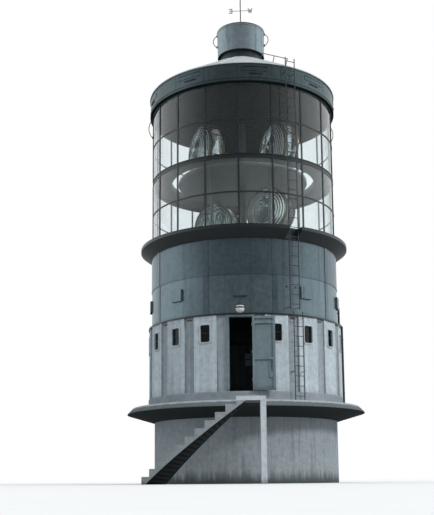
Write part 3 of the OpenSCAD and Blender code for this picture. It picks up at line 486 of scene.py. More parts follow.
def steel_paint(name, base, gloss=0.42, ior=1.7, rust=0.35, sheen=0.0, **weather):
    """Old gloss paint on riveted plate, with the sheen of flake paint where asked."""
    made, net, surface = fresh_material(name)
    worn = effect(net, "Sea weathering", weather_group, {
        "Base": opaque(base), "Dirt": (0.012, 0.016, 0.017, 1), "Dust": (0.16, 0.18, 0.19, 1),
        "Roughness": gloss, **weather})
    rusty = effect(net, "Rust blisters", blister_group, {"Amount": rust})["Mask"]
    height = net.math("MULTIPLY_ADD", rusty, 1.2, worn["Height"])
    shader = net.add("BsdfPrincipled", {
        "Base Color": net.mix(rusty, worn["Color"], (0.10, 0.045, 0.022, 1)),
        "Roughness": net.math("MULTIPLY_ADD", rusty, 0.3, worn["Roughness"]),
        "Metallic": net.math("MULTIPLY_ADD", rusty, -sheen, sheen), "IOR": ior,
        "Normal": net.bump(height, 0.25, 0.003)})
    net.feed(surface, shader.outputs[0])
    return made


def clear_glass(name, tint, rough=0.01, ior=1.45, dirt=0.12, salt=0.0, haze=0.0):
    """Glass with a salt film, greyer seen edge-on, that lets the sun through."""
    made, net, surface = fresh_material(name)
    streaks = net.noise(net.tall(net.here(), 0.12), 9, 5, 0.65)
    film = net.math("MULTIPLY", net.span(streaks, 0.45, 0.8), dirt)
    edge_on = net.span(net.add("LayerWeight", {"Blend": 0.5}).outputs["Facing"], 0.55, 0.92)
    clean = net.mix(net.math("MULTIPLY", edge_on, salt), opaque(tint), (0.30, 0.34, 0.35, 1))
    shader = net.add("BsdfPrincipled", {
        "Base Color": net.mix(film, clean, (0.62, 0.68, 0.70, 1)),
        "Roughness": net.math("MULTIPLY_ADD", film, 0.5, rough),
        "IOR": ior, "Transmission Weight": 1.0 - haze})
    sunbeam = net.add("LightPath").outputs["Is Shadow Ray"]
    clear = net.add("BsdfTransparent", {"Color": (0.86, 0.9, 0.9, 1)})
    both = net.add("MixShader", {0: sunbeam, 1: shader.outputs[0], 2: clear.outputs[0]})
    net.feed(surface, both.outputs[0])
    return made


def brass(name, base):
    """Dull brass with verdigris in patches."""
    made, net, surface = fresh_material(name)
    at = net.here()
    film = net.span(net.noise(at, 7, 6, 0.65), 0.45, 0.75)
    shader = net.add("BsdfPrincipled", {
        "Base Color": net.mix(net.math("MULTIPLY", film, 0.6), opaque(base),
                              (0.07, 0.085, 0.06, 1)),
        "Metallic": net.math("MULTIPLY_ADD", film, -0.35, 0.95),
        "Roughness": net.math("MULTIPLY_ADD", film, 0.3, 0.33),
        "Normal": net.bump(net.noise(at, 60, 4, 0.6), 0.12, 0.002)})
    net.feed(surface, shader.outputs[0])
    return made


def opal(name):
    """Milk glass with a grey film."""
    made, net, surface = fresh_material(name)
    film = net.span(net.noise(net.here(), 14, 5, 0.6), 0.4, 0.8, 0.0, 0.25)
    shader = net.add("BsdfPrincipled", {
        "Base Color": net.mix(film, (0.80, 0.84, 0.86, 1), (0.45, 0.48, 0.48, 1)),
        "Roughness": net.math("MULTIPLY_ADD", film, 0.5, 0.16),
        "Coat Weight": 0.4})
    net.feed(surface, shader.outputs[0])
    return made


def painted_glint(name):
    """A pale opaque colour that paints the glint of sky light on a prism's cut edge."""
    made, net, surface = fresh_material(name)
    shader = net.add("BsdfPrincipled", {
        "Base Color": (0.84, 0.89, 0.90, 1), "Roughness": 0.25})
    net.feed(surface, shader.outputs[0])
    return made


def dress(material, *names):
    """Gives CAD nodes a material and hands it back."""
    for name in names:
        mesh = NODES[name].data
        mesh.materials.clear()
        mesh.materials.append(material)
    return material


# Meshes


def on_wall(azimuth, radius, z):
    """A place on a round wall: Z points out, Y up and X along the wall."""
    return (Matrix.Rotation(azimuth, 4, "Z") @ Matrix.Translation((0, -radius, z))
            @ Matrix.Rotation(QUARTER, 4, "X"))


def on_front(x, y, z):
    """A place on a flat face towards the camera's side: Z points out and Y up."""
    return Matrix.Translation((x, y, z)) @ Matrix.Rotation(QUARTER, 4, "X")


def polar(radius, azimuth, z):
    """A point at an azimuth from the door, positive towards +X."""
    return Vector((radius * math.sin(azimuth), -radius * math.cos(azimuth), z))


def circle(radius, z, sides):
    """Points round the Z axis."""
    return [Vector((radius * math.cos(a), radius * math.sin(a), z)) for a in
            (FULL_TURN * i / sides for i in range(sides))]


def placed(place, rings):
    """Rings of points moved to a place."""
    return [[place @ p for p in ring] for ring in rings]


def loft(bm, rings, caps=(False, False), joined=False):
    """Skins a row of rings of points, the last one joined to the first where asked."""
    rows = [[bm.verts.new(p) for p in ring] for ring in rings]
    count = len(rows[0])
    for low, high in zip(rows, rows[1:] + (rows[:1] if joined else [])):
        for i in range(count):
            j = (i + 1) % count
            bm.faces.new((low[i], low[j], high[j], high[i]))
    if caps[0]:
        bm.faces.new(rows[0][::-1])
    if caps[1]:
        bm.faces.new(rows[-1])
    return rows


def rivet(bm, place, radius, height, sides=8):
    """A snap head with its foot sunk in the plate."""
    rings = [circle(radius, -SUNK, sides), circle(radius * 0.68, height * 0.72, sides)]
    rim = loft(bm, placed(place, rings))[1]
    peak = bm.verts.new(place @ Vector((0, 0, height)))
    for i in range(sides):
        bm.faces.new((rim[i], rim[(i + 1) % sides], peak))


def rivet_column(bm, azimuth, radius, low, high, fit):
    """An upright row of rivets on a round wall; fit is their (pitch, radius, height)."""
    pitch, size, height = fit
    steps = round((high - low) / pitch)
    for i in range(steps + 1):
        rivet(bm, on_wall(azimuth, radius, low + (high - low) * i / steps), size, height)


def bolt(bm, place, radius, height):
    """A hexagon head on a washer."""
    washer = [circle(radius * 1.5, z, 12) for z in (-SUNK, height * 0.3)]
    head = [circle(radius, height * 0.3, 6), circle(radius, height * 0.9, 6),
            circle(radius * 0.8, height, 6)]
    for rings in (washer, head):
        loft(bm, placed(place, rings), caps=(False, True))


def pad(bm, place, width, height, thick, chamfer, sunk=SUNK):
    """A flat plate with chamfered edges, its back a little sunk."""
    rings = [[Vector((x * w / 2, y * h / 2, z)) for x, y in ((-1, -1), (1, -1), (1, 1), (-1, 1))]
             for w, h, z in ((width, height, -sunk), (width, height, thick - chamfer),
                             (width - 2 * chamfer, height - 2 * chamfer, thick))]
    loft(bm, placed(place, rings), caps=(True, True))


def hoop(bm, section, steps, arc=None):
    """Turns a closed section of (radius, height) all round the tower's axis or along an arc."""
    start, end = arc or (0.0, FULL_TURN)
    turns = [start + (end - start) * i / steps for i in range(steps + 1 if arc else steps)]
    loft(bm, [[polar(r, a, z) for r, z in section] for a in turns],
         caps=(bool(arc), bool(arc)), joined=not arc)


def bead_section(radius, z, thick, sides=8):
    """Section of a round bar for a hoop."""
    return [(radius + thick * math.cos(a), z + thick * math.sin(a)) for a in
            (FULL_TURN * i / sides for i in range(sides))]


def rounded(width, height, corner, steps=6):
    """Points of a rounded rectangle in the XY plane."""
    points = []
    for k, (x, y) in enumerate(((1, 1), (-1, 1), (-1, -1), (1, -1))):
        centre = Vector((x * (width / 2 - corner), y * (height / 2 - corner), 0))
        for i in range(steps + 1):
            a = QUARTER * (k + i / steps)
            points.append(centre + Vector((math.cos(a), math.sin(a), 0)) * corner)
    return points


def piece(name, bm, body, material, smooth=30):
    """Makes an object of a finished mesh and lets it ride on a body."""
    bmesh.ops.recalc_face_normals(bm, faces=bm.faces)
    sharp = math.radians(smooth)
    for edge in bm.edges:
        edge.smooth = len(edge.link_faces) == 2 and edge.calc_face_angle(0) < sharp
    for face in bm.faces:
        face.smooth = True
    mesh = bpy.data.meshes.new(name)
    bm.to_mesh(mesh)
    bm.free()
    made = bpy.data.objects.new(name, mesh)
    bpy.context.scene.collection.objects.link(made)
    made.data.materials.append(material)
    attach(made, body)
    return made


# Operators


class LIGHTHOUSE_OT_paint_concrete(bpy.types.Operator):
    """Gives the drum, pedestal, slab and stair their sea-worn concrete"""
    bl_idname = "lighthouse.paint_concrete"
    bl_label = "Paint Concrete"

    def execute(self, context):
        hues = context.scene.lighthouse_colours
        ground = foot("pedestal")
        # Painted shade in the recessed strips between the panels
        recess_shade = {"Recess Radius": PANEL_R - RECESS_INSET, "Recess Shade": 0.38}
        dress(concrete("Board-marked drum concrete", hues.wall, boards=0.5, Patches=0.26,
                       Runs=0.3, **recess_shade, **foot_dirt(foot("drum_wall_back"), 0.3, 0.2)),
              "drum_wall_front_left", "drum_wall_front_right", "drum_wall_left",
              "drum_wall_right", "drum_wall_back")
        dress(concrete("Plinth concrete", darkened(hues.wall, PLINTH_TONE), Patches=0.7, Runs=0.45,
                       **foot_dirt(top("plinth") - 0.05, 0.16, 0.42)),
              "plinth")
        dress(concrete("Stained pedestal concrete", darkened(hues.wall, PEDESTAL_TONE), Patches=0.4,
                       Runs=0.5, **foot_dirt(ground, 0.55, 0.85)),
              "pedestal")
        # The slab's soffit is darkened as painted shade
        dress(concrete("Gallery slab concrete", hues.slab, Patches=0.35, Runs=0.3, Soot=1.0,
                       Settled=0.7, **foot_dirt(top("gallery_slab") - 0.075, 0.05, 0.72)),
              "gallery_slab", "ground_floor")
        # The stair's underside is darkened as painted shade, with a near-black Dirt colour
        dress(concrete("Stair concrete", hues.stair, Patches=0.3, Runs=0.3, Soot=1.0,
                       Settled=0.9, Dirt=(0.010, 0.013, 0.014, 1),
                       **foot_dirt(ground, 0.3, 0.6)),
              "stair_flight")
        dress(concrete("Pale stair concrete", hues.rim, Patches=0.16, Runs=0.16, Soot=0.6,
                       Settled=0.7, **foot_dirt(ground, 0.25, 0.6)),
              "stair_landing", "landing_post")
        return {"FINISHED"}


class LIGHTHOUSE_OT_paint_steelwork(bpy.types.Operator):
    """Gives the plates, cornice, ventilator, galleries, ladders and door their old paint"""
    bl_idname = "lighthouse.paint_steelwork"
    bl_label = "Paint Steelwork"

    def execute(self, context):
        hues = context.scene.lighthouse_colours
        flake = 0.85
        PAINTS["plate"] = dress(
            steel_paint("Old grey plate paint", hues.plate, gloss=0.36, Patches=0.5, Runs=0.45,
                        sheen=flake),
            "upper_plates", "plate_covers")
        dress(steel_paint("Paler plate paint", hues.low_plate, gloss=0.36, Patches=0.5,
                          Runs=0.45, sheen=flake),
              "lower_plates", "vent_hoods")
        # The neck's paint is the cowl's darkened, as painted shade under the cowl
        dress(steel_paint("Ventilator neck paint in painted shade", hues.neck, gloss=0.5, rust=0.2,
                          Patches=0.35, Runs=0.5, sheen=flake),
              "ventilator_neck")
        PAINTS["cornice"] = dress(
            steel_paint("Cornice paint", hues.cornice, gloss=0.34, Patches=0.5, Runs=0.35,
                        sheen=flake),
            "cornice_plates")
        PAINTS["cowl"] = dress(
            steel_paint("Ventilator paint", hues.cowl, gloss=0.5, ior=1.5, rust=0.2,
                        Patches=0.35, Runs=0.55, sheen=flake),
            "ventilator_cowl")
        PAINTS["roof"] = dress(
            steel_paint("Weathered roof sheet", hues.roof, gloss=0.6, ior=1.5, rust=0.15,
                        Patches=0.3, Runs=0.25, Settled=0.5),
            "roof_cone")
        PAINTS["dark"] = dress(
            steel_paint("Black-green frame paint", hues.dark, gloss=0.36, rust=0.2,
                        Patches=0.5, Runs=0.3, Settled=0.4),
            "ledge_ring", "lantern_gallery", "lantern_floor", "lantern_mullions", "sill_ring",
            "lower_ring", "storey_band", "upper_ring", "head_ring", "door_lamp_bracket",
            "optic_bearing")
        dress(steel_paint("Sooty ceiling paint", hues.soot, gloss=0.8, ior=1.2, rust=0.1,
                          Patches=0.5, Runs=0.1),
              "lantern_ceiling")
        dress(steel_paint("Walkway paint", hues.walkway, gloss=0.5, rust=0.2, Patches=0.5,
                          Runs=0.1, Settled=0.4),
              "lantern_walkway")
        PAINTS["ladder"] = dress(
            steel_paint("Ladder paint", hues.ladder, gloss=0.45, rust=0.6, Patches=0.5,
                        Runs=0.4),
            "upper_ladder", "lower_ladder", "roof_rail", "grab_hoops", "rainwater_pipe",
            "compass_rod", "door_hinge_pins")
        PAINTS["door"] = dress(
            steel_paint("Door paint", hues.door, gloss=0.45, rust=0.3, Patches=0.4, Runs=0.4,
                        **foot_dirt(foot("door_leaf"), 0.25, 0.5)),
            "door_leaf", "door_frame")
        dress(brass("Worn door brass", hues.door_brass), "door_handle")
        return {"FINISHED"}


class LIGHTHOUSE_OT_glaze(bpy.types.Operator):
    """Gives the lantern, windows and lamp their glass"""
    bl_idname = "lighthouse.glaze"
    bl_label = "Glaze"

    def execute(self, context):
        hues = context.scene.lighthouse_colours
        dress(clear_glass("Lower lantern glass", hues.glass, salt=0.9, haze=0.032),
              "glass_tier_1", "glass_tier_2")
        dress(clear_glass("Upper lantern glass", hues.glass, salt=0.9, haze=0.009),
              "glass_tier_3", "glass_tier_4")
        # The panes are tinted near black: painted shade of the dim room behind them
        dress(clear_glass("Window glass darkened as painted shade", hues.window, rough=0.12, dirt=0.015), "window_panes")
        dress(opal("Milk glass"), "door_lamp_globe")
        return {"FINISHED"}


class LIGHTHOUSE_OT_finish_optic(bpy.types.Operator):
    """Paints and glazes the revolving optic and adds its rims, drive ring and pale strips of
    painted glint on the prisms
    """
    bl_idname = "lighthouse.finish_optic"
    bl_label = "Finish Optic"

    def execute(self, context):
        hues = context.scene.lighthouse_colours
        PAINTS["optic"] = dress(
            steel_paint("Optic paint", hues.optic, gloss=0.35, rust=0.1, Patches=0.3, Runs=0.1,
                        Settled=0.3),
            "optic_tables", "optic_column")
        PAINTS["brass"] = dress(brass("Lens brass", hues.brass), "lens_cages")
        dress(clear_glass("Lens glass", hues.lens, rough=0.02, ior=1.5, dirt=0.05),
              "lower_lenses", "upper_lenses")
        dress(clear_glass("Lamp glass", hues.lamp, rough=0.15, dirt=0.1), "optic_lamps")
        self.table_rims()
        self.drive_ring()
        self.painted_prism_glints()
        return {"FINISHED"}

    def table_rims(self):
        """Bolts a brass band round the rim of each turning table."""
        low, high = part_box("optic_tables")
        radius, inset, half, thick, bolts = high.x, 0.035, 0.018, 0.005, 90
        bm = bmesh.new()
        for z in (low.z + inset, high.z - inset):
            hoop(bm, [(radius - 0.004, z - half), (radius + thick, z - half + 0.004),
                      (radius + thick, z + half - 0.004), (radius - 0.004, z + half)], 120)
            for i in range(bolts):
                bolt(bm, on_wall(FULL_TURN * i / bolts, radius + thick, z), 0.009, 0.008)
        piece("table_rims", bm, "optic", PAINTS["brass"])

    def drive_ring(self):
        """Puts the upright drive ring on the rim of the upper table."""
        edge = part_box("optic_tables")[1]
        outside, inside, height = edge.x - 0.004, edge.x - 0.024, 0.062
        bm = bmesh.new()
        hoop(bm, [(inside, edge.z - SUNK), (outside, edge.z - SUNK), (outside, edge.z + height),
                  (outside - 0.008, edge.z + height + 0.006), (inside, edge.z + height)], 144)
        piece("drive_ring", bm, "optic", PAINTS["optic"])

    def painted_prism_glints(self):
        """Lays pale strips of painted glint on the prisms, on both faces of every lens pair."""
        bm = bmesh.new()
        for radius, height, around, turn, count in LENSES:
            for side in (0, math.pi):
                for face in (0, math.pi):
                    place = (Matrix.Rotation(math.radians(around) + side, 4, "Z")
                             @ Matrix.Translation((LENS_OFFSET, 0, height))
                             @ Matrix.Rotation(math.radians(turn - 90) + face, 4, "Z")
                             @ Matrix.Translation((0, -LENS_HALF_SPLIT, 0))
                             @ Matrix.Rotation(QUARTER, 4, "X"))
                    self.glint_rings(bm, place, radius, count)
        # The strips are opaque and pale: painted glints of sky light on the prisms
        piece("painted_prism_glints", bm, "optic", painted_glint("Painted prism glint"),
              smooth=50)

    def glint_rings(self, bm, place, radius, count):
        """Lays a strip of painted glint on the slope of each prism in the outer half of one lens.
        """
        step = (radius - BULLSEYE) / count
        for i in range(count):
            inner = BULLSEYE + i * step
            if inner < radius / 2:
                continue
            ridge = LENS_RISE * (1 - (inner / radius) ** 2) + LENS_BASE + LENS_STEP
            valley = LENS_RISE * (1 - ((inner + step) / radius) ** 2) + LENS_BASE
            slope = (valley - ridge) / step
            rings = [circle(inner + across, ridge + slope * across + lift, 72)
                     for across, lift in ((0.003, -0.002), (0.003, 0.0015), (0.031, 0.0015),
                                          (0.031, -0.002))]
            loft(bm, placed(place, rings), joined=True)


class LIGHTHOUSE_OT_add_rivets(bpy.types.Operator):
    """Sets the rivets of the plates, cover strips, cornice and cowl, and the outlet shields"""
    bl_idname = "lighthouse.add_rivets"
    bl_label = "Add Rivets"

    def execute(self, context):
        fit = context.scene.lighthouse_fittings
        large = (fit.rivet_pitch, fit.rivet_radius, fit.rivet_height)
        small = (fit.rivet_pitch, fit.rivet_radius * SMALL_RIVET, fit.rivet_height)
        self.plate_rivets(large)
        self.cornice_rivets(small)
        self.outlet_shields()
        self.cowl_rivets(small)
        return {"FINISHED"}

    def plate_rivets(self, fit):
        """Rows along the edges of both courses, and four columns at every cover strip."""
        pitch, size, height = fit
        lower, upper = reach("lower_plates"), reach("upper_plates")
        # No strip stands at +X, so this is short of their radius: the columns lie under them
        covers = reach("plate_covers")
        base, seam, head = foot("lower_plates"), foot("upper_plates"), top("upper_plates")
        rows = ((lower, base + 0.035), (lower, base + 0.085), (upper, seam + 0.026),
                (upper, head - 0.03))
        columns = ((base + 0.03, seam - 0.035, covers - (upper - lower)),
                   (seam + 0.026, head - 0.03, covers))
        column_gap = 0.044
        count = int(PLATE * lower / pitch)
        half_cover = COVER_WIDTH / 2 / lower + 0.006
        bm = bmesh.new()
        for plate in range(PLATES):
            start = (plate - 0.5) * PLATE
            for i in range(count):
                azimuth = start + PLATE * (i + 0.5) / count
                if half_cover < azimuth - start < PLATE - half_cover:
                    for radius, z in rows:
                        rivet(bm, on_wall(azimuth, radius, z), size, height)
            for k in (-1.5, -0.5, 0.5, 1.5):
                for low, high, radius in columns:
                    azimuth = start + PLATE + k * column_gap / radius
                    rivet_column(bm, azimuth, radius, low, high, fit)
        piece("plate_rivets", bm, "tower", PAINTS["plate"], smooth=60)

    def cornice_rivets(self, fit):
        """Rows along both edges of the cornice and two columns at every joint."""
        pitch, size, height = fit
        base, head = foot("cornice_plates"), top("cornice_plates")
        wall = reach("cornice_plates") - CORNICE_RIB
        count = int(BAY * wall / pitch)
        bm = bmesh.new()
        for bay in range(BAYS):
            joint = bay * BAY
            for i in range(count):
                for z in (base + 0.035, head - 0.035):
                    rivet(bm, on_wall(joint + BAY * (i + 0.5) / count, wall, z), size, height)
            for offset in (-0.03, 0.03):
                rivet_column(bm, joint + offset / wall, wall, base + 0.16, head - 0.1, fit)
        piece("cornice_rivets", bm, "tower", PAINTS["cornice"], smooth=60)

    def outlet_shields(self):
        """Bolts a shield over each outlet slot and a drip ledge under it."""
        wall = reach("cornice_plates") - CORNICE_RIB
        back = wall - 0.002
        slot = foot("cornice_plates") + OUTLET_RISE
        bolts = 5
        bm = bmesh.new()
        for bay in range(0, BAYS, 2):
            start, end = (bay + 0.11) * BAY, (bay + 0.89) * BAY
            hoop(bm, [(back, slot - 0.03), (wall + 0.010, slot - 0.03),
                      (wall + 0.014, slot + 0.094), (wall + 0.004, slot + 0.100),
                      (back, slot + 0.094)], 14, (start, end))
            hoop(bm, [(back, slot - 0.105), (wall + 0.030, slot - 0.115),
                      (wall + 0.030, slot - 0.103), (back, slot - 0.075)],
                 8, ((bay + 0.34) * BAY, (bay + 0.72) * BAY))
            for i in range(bolts):
                azimuth = start + (end - start) * (i + 0.5) / bolts
                bolt(bm, on_wall(azimuth, wall + 0.011, slot - 0.012), 0.012, 0.010)
        piece("outlet_shields", bm, "tower", PAINTS["cornice"])

    def cowl_rivets(self, fit):
        """Rivets the leaning wall of the cowl and puts a bead on each of its edges."""
        size, height = fit[1:]
        low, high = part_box("ventilator_cowl")
        foot_r = high.x - COWL_FLARE
        lean = Matrix.Rotation(-math.atan2(COWL_FLARE, high.z - low.z), 4, "X")

        def spot(azimuth, z):
            radius = foot_r + COWL_FLARE * (z - low.z) / (high.z - 0.02 - low.z)
            return on_wall(azimuth, radius, z) @ lean

        around, upward, seams = 52, 9, 4
        bm = bmesh.new()
        for i in range(around):
            for z in (low.z + 0.03, high.z - 0.05):
                rivet(bm, spot(FULL_TURN * i / around, z), size, height)
        for k in range(seams):
            seam = math.radians(20) + FULL_TURN * k / seams
            for offset in (-0.02, 0.02):
                for i in range(1, upward):
                    z = low.z + 0.05 + (high.z - low.z - 0.12) * i / upward
                    rivet(bm, spot(seam + offset / foot_r, z), size, height)
        band = high.z - 0.085
        band_r = foot_r + COWL_FLARE * (band - low.z) / (high.z - low.z)
        hoop(bm, bead_section(band_r, band, 0.008), 96)
        piece("cowl_rivets", bm, "tower", PAINTS["cowl"], smooth=60)
        bm = bmesh.new()
        hoop(bm, bead_section(high.x - 0.004, high.z - 0.012, 0.013), 96)
        hoop(bm, bead_section(foot_r - 0.002, low.z + 0.010, 0.010), 96)
        piece("cowl_beads", bm, "tower", PAINTS["dark"])


class LIGHTHOUSE_OT_fit_glazing_caps(bpy.types.Operator):
    """Screws the cap strips over the lantern's mullions and rings"""
    bl_idname = "lighthouse.fit_glazing_caps"
    bl_label = "Fit Glazing Caps"

    def execute(self, context):
        fit = context.scene.lighthouse_fittings
        wide, thick = fit.cap_width, fit.cap_thickness
        radius = reach("head_ring")
        storeys = ((foot("sill_ring"), foot("storey_band")), (top("storey_band"), top("head_ring")))
        screw_pitch = 0.19
        bm = bmesh.new()
        for bay in range(BAYS):
            for low, high in storeys:
                pad(bm, on_wall(bay * BAY, radius, (low + high) / 2), wide, high - low, thick,
                    thick * 0.4)
                screws = round((high - low) / screw_pitch)
                for i in range(screws):
                    z = low + (high - low) * (i + 0.5) / screws
                    rivet(bm, on_wall(bay * BAY, radius + thick, z), 0.007, 0.004, 6)
        margin = wide / 2 / radius
        half, face = 0.018, radius + thick * 0.6
        inner = radius - SUNK
        for z in (top("sill_ring") - 0.02, foot("lower_ring") + 0.02, foot("upper_ring") + 0.02,
                  foot("head_ring") + 0.02):
            section = [(inner, z - half), (face, z - half * 0.76), (face, z + half * 0.76),
                       (inner, z + half)]
            for bay in range(BAYS):
                hoop(bm, section, 8, (bay * BAY + margin, (bay + 1) * BAY - margin))
        piece("glazing_caps", bm, "tower", PAINTS["dark"])
        return {"FINISHED"}


class LIGHTHOUSE_OT_fit_windows(bpy.types.Operator):
    """Fits steel frames with a cross bar and latch into the windows, and limewashes their rims"""
    bl_idname = "lighthouse.fit_windows"
    bl_label = "Fit Windows"

    def execute(self, context):
        hues = context.scene.lighthouse_colours
        bar = context.scene.lighthouse_fittings.frame_bar
        low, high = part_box("window_panes")
        tall, centre = high.z - low.z, (low.z + high.z) / 2
        surrounds = bmesh.new()
        frames = bmesh.new()
        for bay in range(1, BAYS):
            self.surround(surrounds, on_wall(bay * BAY, PANEL_FLAT + SURROUND_PROUD, centre), tall)
            self.frame(frames, on_wall(bay * BAY, high.y, centre), tall, bar)
        piece("window_frames", frames, "tower", PAINTS["dark"])
        piece("window_surrounds", surrounds, "tower",
              concrete("Lime-washed surround", hues.surround, Patches=0.4, Runs=0.4))
        return {"FINISHED"}

    def surround(self, bm, place, tall):
        """A thin limewashed rim, from its outer edge to its lip inside the window."""
        rings = [[p + Vector((0, 0, out_by)) for p in rounded(
            WINDOW_WIDTH + grow, tall + grow, WINDOW_CORNER + grow / 2)]
            for grow, out_by in ((0.074, -0.004), (0.070, 0.003), (0.050, 0.006), (0.008, 0.005),
                                 (0.002, -0.020))]
        loft(bm, placed(place, rings))

    def frame(self, bm, place, tall, bar):
        """A frame with a bevelled inner edge, its cross bar and the plate of its latch."""
        outer = rounded(WINDOW_WIDTH - 0.003, tall - 0.003, WINDOW_CORNER)
        bead = rounded(WINDOW_WIDTH - 1.6 * bar, tall - 1.6 * bar, WINDOW_CORNER * 0.6)
        inner = rounded(WINDOW_WIDTH - 2 * bar, tall - 2 * bar, WINDOW_CORNER * 0.5)
        rings = [[p + Vector((0, 0, out_by)) for p in ring] for ring, out_by in
                 ((outer, 0.001), (outer, 0.022), (bead, 0.022), (inner, 0.012), (inner, 0.001))]
        loft(bm, placed(place, rings))
        cross = place @ Matrix.Translation((0, 0.02, 0.001))
        pad(bm, cross, WINDOW_WIDTH - 1.5 * bar, 0.022, 0.016, 0.004)
        pad(bm, cross, 0.03, 0.05, 0.026, 0.005)


class LIGHTHOUSE_OT_fit_door(bpy.types.Operator):
    """Rivets the door leaf, fits its lock box and hangs the hood over the lamp"""
    bl_idname = "lighthouse.fit_door"
    bl_label = "Fit Door"

    def execute(self, context):
        self.leaf_rivets()
        self.lock_box()
        self.lamp_hood()
        return {"FINISHED"}

    def leaf_rivets(self):
        """Rivets along all four edges of the leaf."""
        low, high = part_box("door_leaf")
        left, right, tall = high.x - DOOR_LEAF_WIDTH, high.x, high.z - low.z
        upright, across = round(tall / 0.1), 7
        bm = bmesh.new()
        for i in range(upright):
            z = low.z + tall * (i + 0.5) / upright
            for x in (left + 0.018, right - 0.018):
                rivet(bm, on_front(x, low.y, z), 0.007, 0.005)
        for i in range(across):
            x = left + 0.08 + (right - left - 0.16) * i / (across - 1)
            for z in (low.z + 0.02, high.z - 0.02):
                rivet(bm, on_front(x, low.y, z), 0.007, 0.005)
        piece("door_rivets", bm, "door", PAINTS["door"], smooth=60)

    def lock_box(self):
        """The lock under the pull, with a keyhole plate and four rivets."""
        low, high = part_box("door_handle")
        x, z, thick = (low.x + high.x) / 2, low.z - 0.16, 0.028
        front = high.y - thick
        bm = bmesh.new()
        pad(bm, on_front(x, high.y, z), 0.11, 0.17, thick, 0.006)
        pad(bm, on_front(x, front, z + 0.02), 0.03, 0.05, 0.004, 0.0015)
        for dx, dz in ((-0.04, -0.07), (0.04, -0.07), (-0.04, 0.07), (0.04, 0.07)):
            rivet(bm, on_front(x + dx, front, z + dz), 0.006, 0.004)
        piece("door_lock_box", bm, "door", PAINTS["door"])

    def lamp_hood(self):
        """A thin half shell over the globe, skinned outside first and back along its inside."""
        low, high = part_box("door_lamp_globe")
        centre = (low + high) / 2 + Vector((0, 0, 0.012))
        outside = (high.x - low.x) / 2 + 0.006
        shells = ((outside, range(8, 87, 13)), (outside - 0.004, range(86, 7, -13)))
        rings = [circle(shell * math.sin(math.radians(a)), shell * math.cos(math.radians(a)), 40)
                 for shell, angles in shells for a in angles]
        bm = bmesh.new()
        loft(bm, placed(Matrix.Translation(centre), rings), caps=(True, True))
        piece("door_lamp_hood", bm, "tower", PAINTS["dark"])


